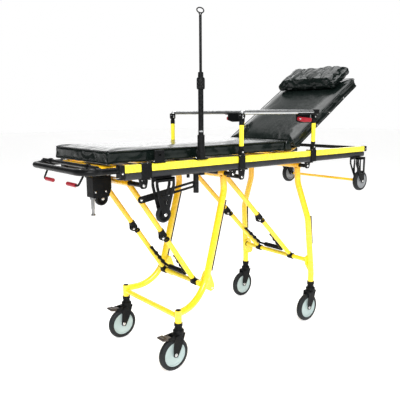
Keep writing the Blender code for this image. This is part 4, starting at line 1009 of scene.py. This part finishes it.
def lower_brace(name, brace, cross_half):
    axes = knee_axes(brace)
    foot, knee, along = axes.foot, axes.knee, axes.along
    yellow = [cross_rod(*foot, -cross_half, cross_half, BRACE_R)]
    black = []
    start, collar = on_tube(brace, 0.020), on_tube(brace, 0.030)
    lug = bail_pivot(brace)
    for side in SIDES.values():
        y = side * BRACE_Y
        yellow.append(rod_beside(start, foot, y, BRACE_R))
        black.append(rod_beside(start, collar, y, 0.0145, 36))
        black.append(cross_rod(*foot, y - 0.0170, y + 0.0170, 0.0170, 36))
        black.append(cross_rod(*foot, side * (cross_half - 0.006), side * cross_half,
                               BRACE_R + 0.0006))
        tongue = knee_outline(brace, [(-0.0095, -0.009), (0.008, -0.022), (0.034, -0.022),
                                      (0.034, -0.006), (0.018, -0.003), (0.0095, 0.0095),
                                      (-0.0095, 0.0095)],
                              [0.004, 0.003, 0, 0, 0.003, 0.007, 0.007])
        black.append(bored_plate(tongue, y, TONGUE, *knee, 0.0050))
        black.append(rod((lug.x, side * 0.120, lug.y), (lug.x, side * 0.0925, lug.y), 0.0035))
        black.append(rod_beside(foot - along * 0.030, foot, y, 0.0142, 36))
    stand_in(name, {"yellow": yellow, "black": black})


def bail_pivot(brace):
    axes = knee_axes(brace)
    return axes.knee + (axes.foot - axes.knee) * 0.45 - axes.square * KNEE_OFFSET * 0.55


def bail(name, brace):
    """Release bar: two arms with clips, joined by a ridged grip."""
    axes = knee_axes(brace)
    foot, along, square = axes.foot, axes.along, axes.square
    pivot = bail_pivot(brace)
    bend = foot - along * 0.062 - square * 0.002
    grip = foot + Vector((-0.012, 0.033))
    half, neck, reach = 0.0980, 0.0840, 0.0740
    corners = [(pivot.x, -half, pivot.y), (bend.x, -neck, bend.y), (grip.x, -reach, grip.y),
               (grip.x, reach, grip.y), (bend.x, neck, bend.y), (pivot.x, half, pivot.y)]
    black = [sweep(bent_path(corners, [0.015, 0.010, 0.010, 0.015]), 0.0064, 18)]
    steps = 48
    grip_ends = 0.008 - reach
    ridges = [grip_ends + (reach - 0.008) * 2 * k / steps for k in range(steps + 1)]
    black.append(sweep([(grip.x, y, grip.y) for y in ridges],
                       [0.0130 if k % 4 < 3 else 0.0120 for k in range(steps + 1)], 20))
    for side in SIDES.values():
        black.append(ring_sleeve(pivot.x, pivot.y, side, half - 0.004, half + 0.004,
                                 0.0043, 0.0080))
        first, last = Vector((pivot.x, side * half, pivot.y)), Vector((bend.x, side * neck, bend.y))
        for share in (0.35, 0.62, 0.88):
            spot = first.lerp(last, share)
            way = (last - first).normalized() * 0.005
            black.append(rod(spot - way, spot + way, 0.0100, 20))
    stand_in(name, {"black": black}, bevel=0.0004)


# ---- Casters -----------------------------------------------------------------------------------
def caster_fork(name, stub, side, brake):
    x, y = stub[0], side * stub[1]
    wheel_x, wheel_z = x - CASTER_TRAIL, CASTER_R
    inner, outer = (CASTER_WIDTH / 2 + face for face in FORK_FACES)
    crown = [(0, 0.1650), (0.0240, 0.1650), (0.0250, 0.1665), (0.0260, 0.1850), (0.0250, 0.1880),
             (0.0180, 0.1930), (0.0170, STUB_BOTTOM - GAP), (0, STUB_BOTTOM - GAP)]
    black = [upright(crown, x, y),
             box((x - 0.034, y - outer, 0.1640), (x + 0.024, y + outer, 0.1740), 0.002)]
    outline = rounded([(x - 0.036, 0.173), (wheel_x - 0.015, wheel_z - 0.008),
                       (wheel_x + 0.010, wheel_z - 0.014), (x + 0.004, wheel_z + 0.030),
                       (x + 0.026, 0.173)], [0, 0.013, 0.008, 0.020, 0])
    for s in (-1, 1):
        black.append(side_plate(outline, y + s * inner, y + s * outer))
        if brake:
            arm = rounded([(x - 0.030, 0.173), (x - 0.030, 0.153), (x - 0.071, 0.155),
                           (x - 0.071, 0.171)], [0, 0, 0.006, 0.006])
            black.append(side_plate(arm, y + s * inner, y + s * outer))
    black.append(cross_rod(wheel_x, wheel_z, y - outer, y + outer, 0.0050))
    bright = pin_heads(wheel_x, wheel_z, y, outer, 0.0080, 0.0034)
    collar = [(0.0165, 0.1960), (0.0186, 0.1960), (0.0186, 0.1990), (0.0165, 0.1990)]
    black.append(upright(collar, x, y))
    if brake:
        black.append(cross_rod(x + PEDAL_PIN[0], PEDAL_PIN[1], y - outer - 0.001,
                               y + outer + 0.001, 0.0030))
    stand_in(name, {"black": black, "bright": bright})


def caster_wheel(name, stub, side):
    """Tyre with rounded shoulders on a dished pale hub with a raised ring."""
    centre = (stub[0] - CASTER_TRAIL, side * stub[1], CASTER_R)
    half = CASTER_WIDTH / 2
    tyre = [(0.0560, -half * 0.70), (0.0575, -half * 0.93), (0.0640, -half * 0.98),
            (0.0720, -half * 0.86), (0.0765, -half * 0.60), (CASTER_R, -half * 0.25)]
    hub = [(0.0058, -half * 0.96), (0.0120, -half * 0.96), (0.0130, -half * 0.66),
           (0.0400, -half * 0.56), (0.0440, -half * 0.70), (0.0480, -half * 0.72),
           (0.0520, -half * 0.62), (0.0540, -half * 0.86), (0.0578, -half * 0.88)]
    stand_in(name, {"tyre": [turned(mirrored(tyre), centre, (0, 1, 0), 72)],
                    "hub": [turned(mirrored(hub), centre, (0, 1, 0), 72)]}, bevel=0.0003)


def brake_pedal(name, stub, side):
    x, y = stub[0], side * stub[1]
    outline = rounded([(x - 0.050, 0.1690), (x - 0.050, 0.1580), (x - 0.066, 0.1570),
                       (x - 0.098, 0.1630), (x - 0.105, 0.1720), (x - 0.101, 0.1775),
                       (x - 0.068, 0.1710)],
                      [0.003, 0.003, 0.002, 0.003, 0.003, 0.002, 0.002])
    half = CASTER_WIDTH / 2 + FORK_FACES[0] - GAP
    body = bored_plate(outline, y, half, x + PEDAL_PIN[0], PEDAL_PIN[1], 0.0038)
    tread = [box((x - 0.105, y - 0.024, 0.1660), (x - 0.075, y + 0.024, 0.1745), 0.002)]
    tread += [box((x - 0.102 + dx, y - 0.021, 0.1735), (x - 0.0995 + dx, y + 0.021, 0.1755), 0.0006)
              for dx in (0, 0.006, 0.012, 0.018)]
    stand_in(name, {"brown": [body, *tread]})


def release_lever(name, side):
    low = (-0.152, 0.892)
    ring_y, grip_y, grip_end = 0.176, 0.166, 0.070
    corners = [(INNER_BAR_X - 0.0046, side * ring_y, INNER_BAR_Z - 0.0088),
               (low[0], side * grip_y, low[1]), (low[0], side * grip_end, low[1])]
    black = [sweep(bent_path(corners, [0.012]), 0.0042, 18),
             ring_sleeve(INNER_BAR_X, INNER_BAR_Z, side, ring_y - 0.008, ring_y + 0.008,
                         INNER_BAR_R + RUNNING, 0.0120)]
    start, end = grip_y - 0.022, grip_end - 0.001
    count = 33
    stations = [start + (end - start) * k / (count - 1) for k in range(count)]
    swell = [0.0085 - (0.0009 if 0 < k < count - 1 and k % 4 == 0 else 0) for k in range(count)]
    swell[0] = swell[-1] = 0.0066
    grip = sweep([(low[0], side * s, low[1]) for s in stations], swell, 24)
    stand_in(name, {"black": black, "red": [grip]}, bevel=0.0004)


# ---- Upholstery --------------------------------------------------------------------------------
CLOTH_FRAMES = 20
SIDE_SEAM = 0.030             # height of the seam along a cushion's sides, above its base
SKIRT_Y = (0.236, 0.243)      # where the flat pad's top ends and its side hangs down


def pad_blank(low, high, corner, voxel):
    """A closed rounded block with an even mesh, ready for the cloth solver."""
    obj = bpy.data.objects.new("blank", box(low, high, corner))
    bpy.context.scene.collection.objects.link(obj)
    remesh = obj.modifiers.new("even", "REMESH")
    remesh.mode = "VOXEL"
    remesh.voxel_size = voxel
    return applied(obj)


def inflate(obj, base_level, cap, slack):
    """Blow the block up with cloth, held where it rests, with every point's travel capped."""
    rest = [v.co.copy() for v in obj.data.vertices]
    group = obj.vertex_groups.new(name="rest")
    held = [i for i, co in enumerate(rest) if co.z < base_level + 0.004]
    group.add(held, 1.0, "REPLACE")
    cloth = obj.modifiers.new("cloth", "CLOTH")
    settings = cloth.settings
    settings.quality = 6
    settings.mass = 0.25
    settings.use_pressure = True
    settings.uniform_pressure_force = 4.0
    settings.shrink_min = -slack
    settings.tension_stiffness = 22
    settings.compression_stiffness = 14
    settings.bending_stiffness = 0.9
    settings.vertex_group_mass = "rest"
    settings.effector_weights.gravity = 0
    for number in range(1, CLOTH_FRAMES + 1):
        bpy.context.scene.frame_set(number)
    applied(obj)
    bpy.context.scene.frame_set(1)
    obj.vertex_groups.clear()
    for vert, start in zip(obj.data.vertices, rest):
        travel = vert.co - start
        if travel.length > cap:
            vert.co = start + travel.normalized() * cap
    return obj


def smooth_step(value, low, high):
    share = min(1.0, max(0.0, (value - low) / (high - low)))
    return share * share * (3 - 2 * share)


def wrinkle(obj, depth_at):
    """Move each point along its normal by a depth that the given function finds."""
    mesh = obj.data
    moves = [v.normal * depth_at(v.co, v.normal) for v in mesh.vertices]
    for vert, move in zip(mesh.vertices, moves):
        vert.co += move
    return obj


def finish_pad(obj, node, extra, matrix=Matrix.Identity(4)):
    """Smooth a pad once, add its sewn edge, put it in place and let it ride."""
    sub = obj.modifiers.new("smooth", "SUBSURF")
    sub.levels = sub.render_levels = 1
    applied(obj)
    mesh = obj.data
    bpy.data.objects.remove(obj)
    meshes = [mesh, *extra]
    for item in meshes:
        item.transform(matrix)
    piece = part(node + "_vinyl", BODY_OF[node], "vinyl", meshes, bevel=0)
    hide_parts(node)
    return piece


def welt(low, high, corner, level, radius=0.0026):
    """Sewn edge that runs round a pad at one level."""
    outline = rounded([(low[0], low[1]), (high[0], low[1]), (high[0], high[1]),
                       (low[0], high[1])], corner)
    dense = []
    for (u, v), (u2, v2) in zip(outline, outline[1:] + outline[:1]):
        count = max(1, round(math.hypot(u2 - u, v2 - v) / 0.02))
        dense += [(u + (u2 - u) * k / count, v + (v2 - v) * k / count) for k in range(count)]
    ripple = [0.0008 * noise.noise(Vector((u * 22, v * 22, level * 40))) for u, v in dense]
    path = [(u, v, level + r) for (u, v), r in zip(dense, ripple)]
    return sweep(path, radius, 10, closed=True)


def pad_welt(low, high, corner, level, inset=0):
    """Sewn edge just inside a pad's outline. inset moves it in from the pad's foot end."""
    edge = 0.0040
    return welt((low[0] + edge + inset, low[1] + edge), (high[0] - edge, high[1] - edge),
                corner, level)


def padding(low, high, trim=0.003, corner=0.010, voxel=0.0075, cap=0.006, slack=0.004):
    """A crowned slab of foam under vinyl, before its folds. trim leaves room for it to swell."""
    pad = pad_blank([v + 0.002 for v in low], [v - trim for v in high], corner, voxel)
    inflate(pad, low[2] + 0.002, cap, slack)
    return pad


def creases(co, scale, stretch, sharp=2.0):
    """Ridged noise between 0 and 1 that runs in folds."""
    spot = Vector((co.x * scale * stretch[0], co.y * scale * stretch[1], co.z * scale * stretch[2]))
    value = 1 - abs(noise.noise(spot)) * 2
    return max(0.0, value) ** sharp


def flat_pad():
    low, high = (PAD_FOOT_X, -PAD_Y, PAD_BOTTOM), (PAD_HEAD_X, PAD_Y, PAD_TOP)
    pad = padding(low, high)

    def depth_at(co, normal):
        edge_x = min(co.x - PAD_FOOT_X, PAD_HEAD_X - co.x)
        edge_y = PAD_Y - abs(co.y)
        side_face = 1 - smooth_step(abs(normal.z), 0.3, 0.8)
        slow = 0.0016 * noise.noise(Vector((co.x * 5, co.y * 6, 0)))
        near_edge = smooth_step(0.10 - min(edge_x, edge_y), 0, 0.08)
        top = 0.0014 * creases(co, 9, (0.7, 1.6, 1)) * near_edge
        top += 0.0013 * creases(co, 5, (0.6, 1.9, 1), 3.0)
        folds = 0.0024 * creases(co, 12, (1.0, 1.0, 1.4)) * side_face
        near_corner = smooth_step(0.10 - edge_x - edge_y, 0, 0.08)
        corner = 0.0026 * creases(co, 22, (1, 1, 0.5)) * near_corner
        seam = 0.0016 * math.exp(-((co.z - (PAD_BOTTOM + SIDE_SEAM)) / 0.0022) ** 2) * side_face
        return slow - top - folds - corner * side_face - seam
    wrinkle(pad, depth_at)
    for vert in pad.data.vertices:
        low_share = (PAD_TOP - vert.co.z) / (PAD_TOP - PAD_BOTTOM)
        vert.co.z -= 0.008 * smooth_step(-vert.co.x, 0.026, 0.060) * low_share
        vert.co.z -= 0.0042 * smooth_step(abs(vert.co.y), *SKIRT_Y) * low_share
        vert.co.x -= 0.009 * smooth_step(-vert.co.x, 0.020, 0.058)
    finish_pad(pad, "flat_pad", [pad_welt(low, high, 0.016, PAD_TOP - 0.0085)])


def flat_pad_end():
    """Soft end of the flat pad, up to the backrest."""
    start, reach = PAD_HEAD_X - 0.006, 0.036
    low = (start, 0.004 - PAD_Y, PAD_BOTTOM - 0.004)
    high = (start + reach, PAD_Y - 0.004, PAD_TOP - 0.005)
    end = pad_blank(low, high, 0.011, 0.0055)
    wrinkle(end, lambda co, normal: -0.0022 * creases(co, 13, (1.0, 1.0, 1.4))
            * smooth_step(abs(co.y), 0.0, 0.20))
    for vert in end.data.vertices:
        share = (vert.co.x - start) / reach
        low_share = (PAD_TOP - vert.co.z) / (PAD_TOP - PAD_BOTTOM)
        vert.co.x += 0.022 * share * low_share
        vert.co.z -= 0.0020 * smooth_step(abs(vert.co.y), *SKIRT_Y) * low_share
    mesh = end.data
    bpy.data.objects.remove(end)
    piece = part("flat_pad_end", "chassis", "vinyl", [mesh], bevel=0)
    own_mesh(piece)


def backrest_pad():
    low, high = (0.008, -PAD_Y, BACK_PAD_N[0]), (BACK_LENGTH, PAD_Y, BACK_PAD_N[1])
    pad = padding(low, high)

    def depth_at(co, normal):
        edge_x = min(co.x - low[0], high[0] - co.x)
        edge_y = PAD_Y - abs(co.y)
        side_face = 1 - smooth_step(abs(normal.z), 0.3, 0.8)
        slow = 0.0018 * noise.noise(Vector((co.x * 5 + 9, co.y * 6, 3)))
        near_edge = smooth_step(0.12 - min(edge_x, edge_y), 0, 0.10)
        top = 0.0022 * creases(co, 8, (0.8, 1.4, 1)) * near_edge
        folds = 0.0030 * creases(co, 12, (0.8, 1.0, 1.6)) * side_face
        seam = 0.0022 * math.exp(-((co.z - (BACK_PAD_N[0] + SIDE_SEAM)) / 0.0030) ** 2) * side_face
        return slow - top - folds - seam
    wrinkle(pad, depth_at)
    for vert in pad.data.vertices:
        near_base = 1 - smooth_step(vert.co.z, BACK_PAD_N[0] + 0.004, BACK_PAD_N[0] + 0.022)
        near_hinge = smooth_step(0.026 - vert.co.x, 0, 0.016)
        vert.co.z += 0.009 * near_base * near_hinge
        vert.co.x += 0.004 * near_base * near_hinge
    welts = [pad_welt(low, high, 0.022, level, inset)
             for level, inset in ((BACK_PAD_N[0] + 0.0080, 0.006), (BACK_PAD_N[1] - 0.0090, 0))]
    finish_pad(pad, "backrest_pad", welts, TILT)
    studs = []
    for s in (0.225, 0.350, 0.500):
        for side in SIDES.values():
            studs.append(tilt(side_bolt(s, PAD_Y - 0.004, BACK_PAD_N[0] + 0.014, side,
                                        0.0052, 0.0040)))
    part("backrest_pad_snaps", "backrest", "bright", studs, 0.0003)


def pillow():
    low = (PILLOW_S[0] - 0.008, PILLOW_SHIFT - PILLOW_Y, PILLOW_N[0])
    high = (PILLOW_S[1] - 0.002, PILLOW_SHIFT + PILLOW_Y, PILLOW_N[1])
    pad = padding(low, high, trim=0.005, corner=0.022, voxel=0.0055, cap=0.012, slack=0.020)
    middle = (PILLOW_S[0] + PILLOW_S[1]) / 2

    def depth_at(co, normal):
        across = abs(co.y - PILLOW_SHIFT) / PILLOW_Y
        along = abs(co.x - middle) / (PILLOW_S[1] - PILLOW_S[0]) * 2
        upper = smooth_step(co.z, PILLOW_N[0] + 0.010, PILLOW_N[1])
        thin = 0.010 * smooth_step(across, 0.55, 1.0) + 0.006 * smooth_step(along, 0.5, 1.0)
        rays = 0.0065 * creases(co, 8, (0.8, 2.2, 0.6), 3.0) * upper
        folds = 0.0045 * creases(co, 14, (1.2, 0.8, 1.6)) * (1 - 0.5 * upper)
        return -thin * upper * abs(normal.z) - rays - folds
    wrinkle(pad, depth_at)
    edge = 0.006
    seam = welt((low[0] + edge, low[1] + edge), (high[0] - edge, high[1] - edge), 0.040,
                PILLOW_N[0] + SIDE_SEAM, 0.0022)
    finish_pad(pad, "pillow", [seam], TILT)


# ---- Assembly ----------------------------------------------------------------------------------
def build_chassis():
    deck_frame()
    for name, side in SIDES.items():
        side_rail("side_rail_" + name, side)
    foot_loop()
    head_bar()
    hanger("rear_leg_hanger", REAR_LEG_X, PIVOT_Z)
    hanger("front_leg_hanger", FRONT_LEG_X, PIVOT_Z)
    hanger("rear_brace_hanger", *REAR_BRACE["top"])
    hanger("front_brace_hanger", *FRONT_BRACE["top"])
    load_wheel_axle()
    stay_arm()
    lock_box()
    pole_socket()
    pole()
    spare_bracket()
    for name, side in SIDES.items():
        wheel_bracket("load_bracket_" + name, LOAD_WHEEL, side, (0.080, 0.014), LOAD_WINDOWS)
        fixed_wheel("load_wheel_" + name, LOAD_WHEEL, side, "grey")
        wheel_bracket("foot_wheel_bracket_" + name, FOOT_WHEEL, side, (0.046, 0.052), FOOT_WINDOWS)
        fixed_wheel("foot_wheel_" + name, FOOT_WHEEL, side, "black")


def build_guards():
    for name, side in SIDES.items():
        guard_post("guard_foot_post_" + name, GUARD_X[0], side)
        guard_post("guard_head_post_" + name, GUARD_X[1], side)
        guard_rail("guard_rail_" + name, side)
        guard_lever("guard_lever_" + name, side)


def build_leg_set(which, brace, cross_half, stub, brake):
    upper_brace(which + "_upper_brace", brace)
    lower_brace(which + "_lower_brace", brace, cross_half)
    bail(which + "_release_bail", brace)
    end = {"rear": "foot", "front": "head"}[which]
    for name, side in SIDES.items():
        tag = end + "_" + name
        caster_fork("caster_fork_" + tag, stub, side, brake)
        caster_wheel("caster_wheel_" + tag, stub, side)
        if brake:
            brake_pedal("brake_pedal_" + tag, stub, side)


# ---- Stage -------------------------------------------------------------------------------------
def floor():
    """Pale, slightly uneven studio floor."""
    bm = bmesh.new()
    bmesh.ops.create_grid(bm, x_segments=1, y_segments=1, size=30.0)
    data = solid(bm)
    obj = bpy.data.objects.new("floor", data)
    bpy.context.scene.collection.objects.link(obj)
    paper = surface("studio_floor", (0.93, 0.93, 0.925), (0.91, 0.91, 0.905), (0.6, 0.8),
                    grain=(60.0, 0.01), waves=(2.0, 0.01))
    shader = paper.node_tree.nodes["Principled BSDF"]
    shader.inputs["Emission Color"].default_value = (1.0, 1.0, 1.0, 1.0)
    shader.inputs["Emission Strength"].default_value = 0.42
    shader.inputs["Specular IOR Level"].default_value = 0.1
    data.materials.append(paper)


def studio():
    """White surround that is a little dimmer as a light than it looks."""
    world = bpy.data.worlds.new("studio")
    bpy.context.scene.world = world
    world.use_nodes = True
    tree = world.node_tree
    background = tree.nodes["Background"]
    path = tree.nodes.new("ShaderNodeLightPath")
    where = tree.nodes.new("ShaderNodeTexCoord").outputs["Generated"]
    facing = tree.nodes.new("ShaderNodeVectorMath")
    facing.operation = "DOT_PRODUCT"
    facing.inputs[1].default_value = (0.62, 0.76, 0.10)
    tree.links.new(where, facing.inputs[0])
    reflected = ranged(tree, facing.outputs["Value"], 0.08, 2.1, 0.70, 0.98)
    glossy = tree.nodes.new("ShaderNodeMix")
    glossy.inputs["A"].default_value = 0.60
    tree.links.new(path.outputs["Is Glossy Ray"], glossy.inputs["Factor"])
    tree.links.new(reflected, glossy.inputs["B"])
    strength = tree.nodes.new("ShaderNodeMix")
    strength.inputs["B"].default_value = 1.0
    tree.links.new(path.outputs["Is Camera Ray"], strength.inputs["Factor"])
    tree.links.new(glossy.outputs["Result"], strength.inputs["A"])
    tree.links.new(strength.outputs["Result"], background.inputs["Strength"])
    background.inputs["Color"].default_value = (1.0, 1.0, 1.0, 1.0)


def area_light(name, location, target, size, power):
    lamp = bpy.data.lights.new(name, "AREA")
    lamp.shape = "DISK"
    lamp.size = size
    lamp.energy = power
    obj = bpy.data.objects.new(name, lamp)
    bpy.context.scene.collection.objects.link(obj)
    obj.location = location
    obj.rotation_euler = (Vector(target) - Vector(location)).to_track_quat("-Z", "Y").to_euler()


def camera():
    place = (FOOT_X - 1.027, -1.977, 1.172)
    yaw, pitch, roll = 0.6901, -0.1716, -0.0060
    forward = Vector((math.sin(yaw) * math.cos(pitch), math.cos(yaw) * math.cos(pitch),
                      math.sin(pitch)))
    right = forward.cross(Vector((0, 0, 1))).normalized()
    up = right.cross(forward)
    turned_right = right * math.cos(roll) + up * math.sin(roll)
    turned_up = up * math.cos(roll) - right * math.sin(roll)
    lens = bpy.data.cameras.new("photo_view")
    lens.lens = 45.2
    lens.sensor_width = 36.0
    obj = bpy.data.objects.new("photo_view", lens)
    bpy.context.scene.collection.objects.link(obj)
    turn = Matrix((turned_right, turned_up, -forward)).transposed().to_4x4()
    obj.matrix_world = Matrix.Translation(place) @ turn
    bpy.context.scene.camera = obj


def main():
    build_chassis()
    backrest_frame()
    strut_parts()
    build_guards()
    rear_leg_frame()
    front_leg_frame()
    build_leg_set("rear", REAR_BRACE, REAR_CROSS_Y, REAR_STUB, True)
    build_leg_set("front", FRONT_BRACE, FRONT_CROSS_Y, FRONT_STUB, False)
    for name, side in SIDES.items():
        release_lever("release_lever_" + name, side)
    flat_pad()
    flat_pad_end()
    backrest_pad()
    pillow()
    floor()
    studio()
    area_light("key", (-2.6, -3.4, 3.4), (0, 0, 0.7), 2.2, 250)
    area_light("top", (0.6, 0.4, 3.8), (0, 0, 0.6), 3.0, 90)
    camera()
    bpy.context.scene.view_settings.view_transform = "Standard"


main()
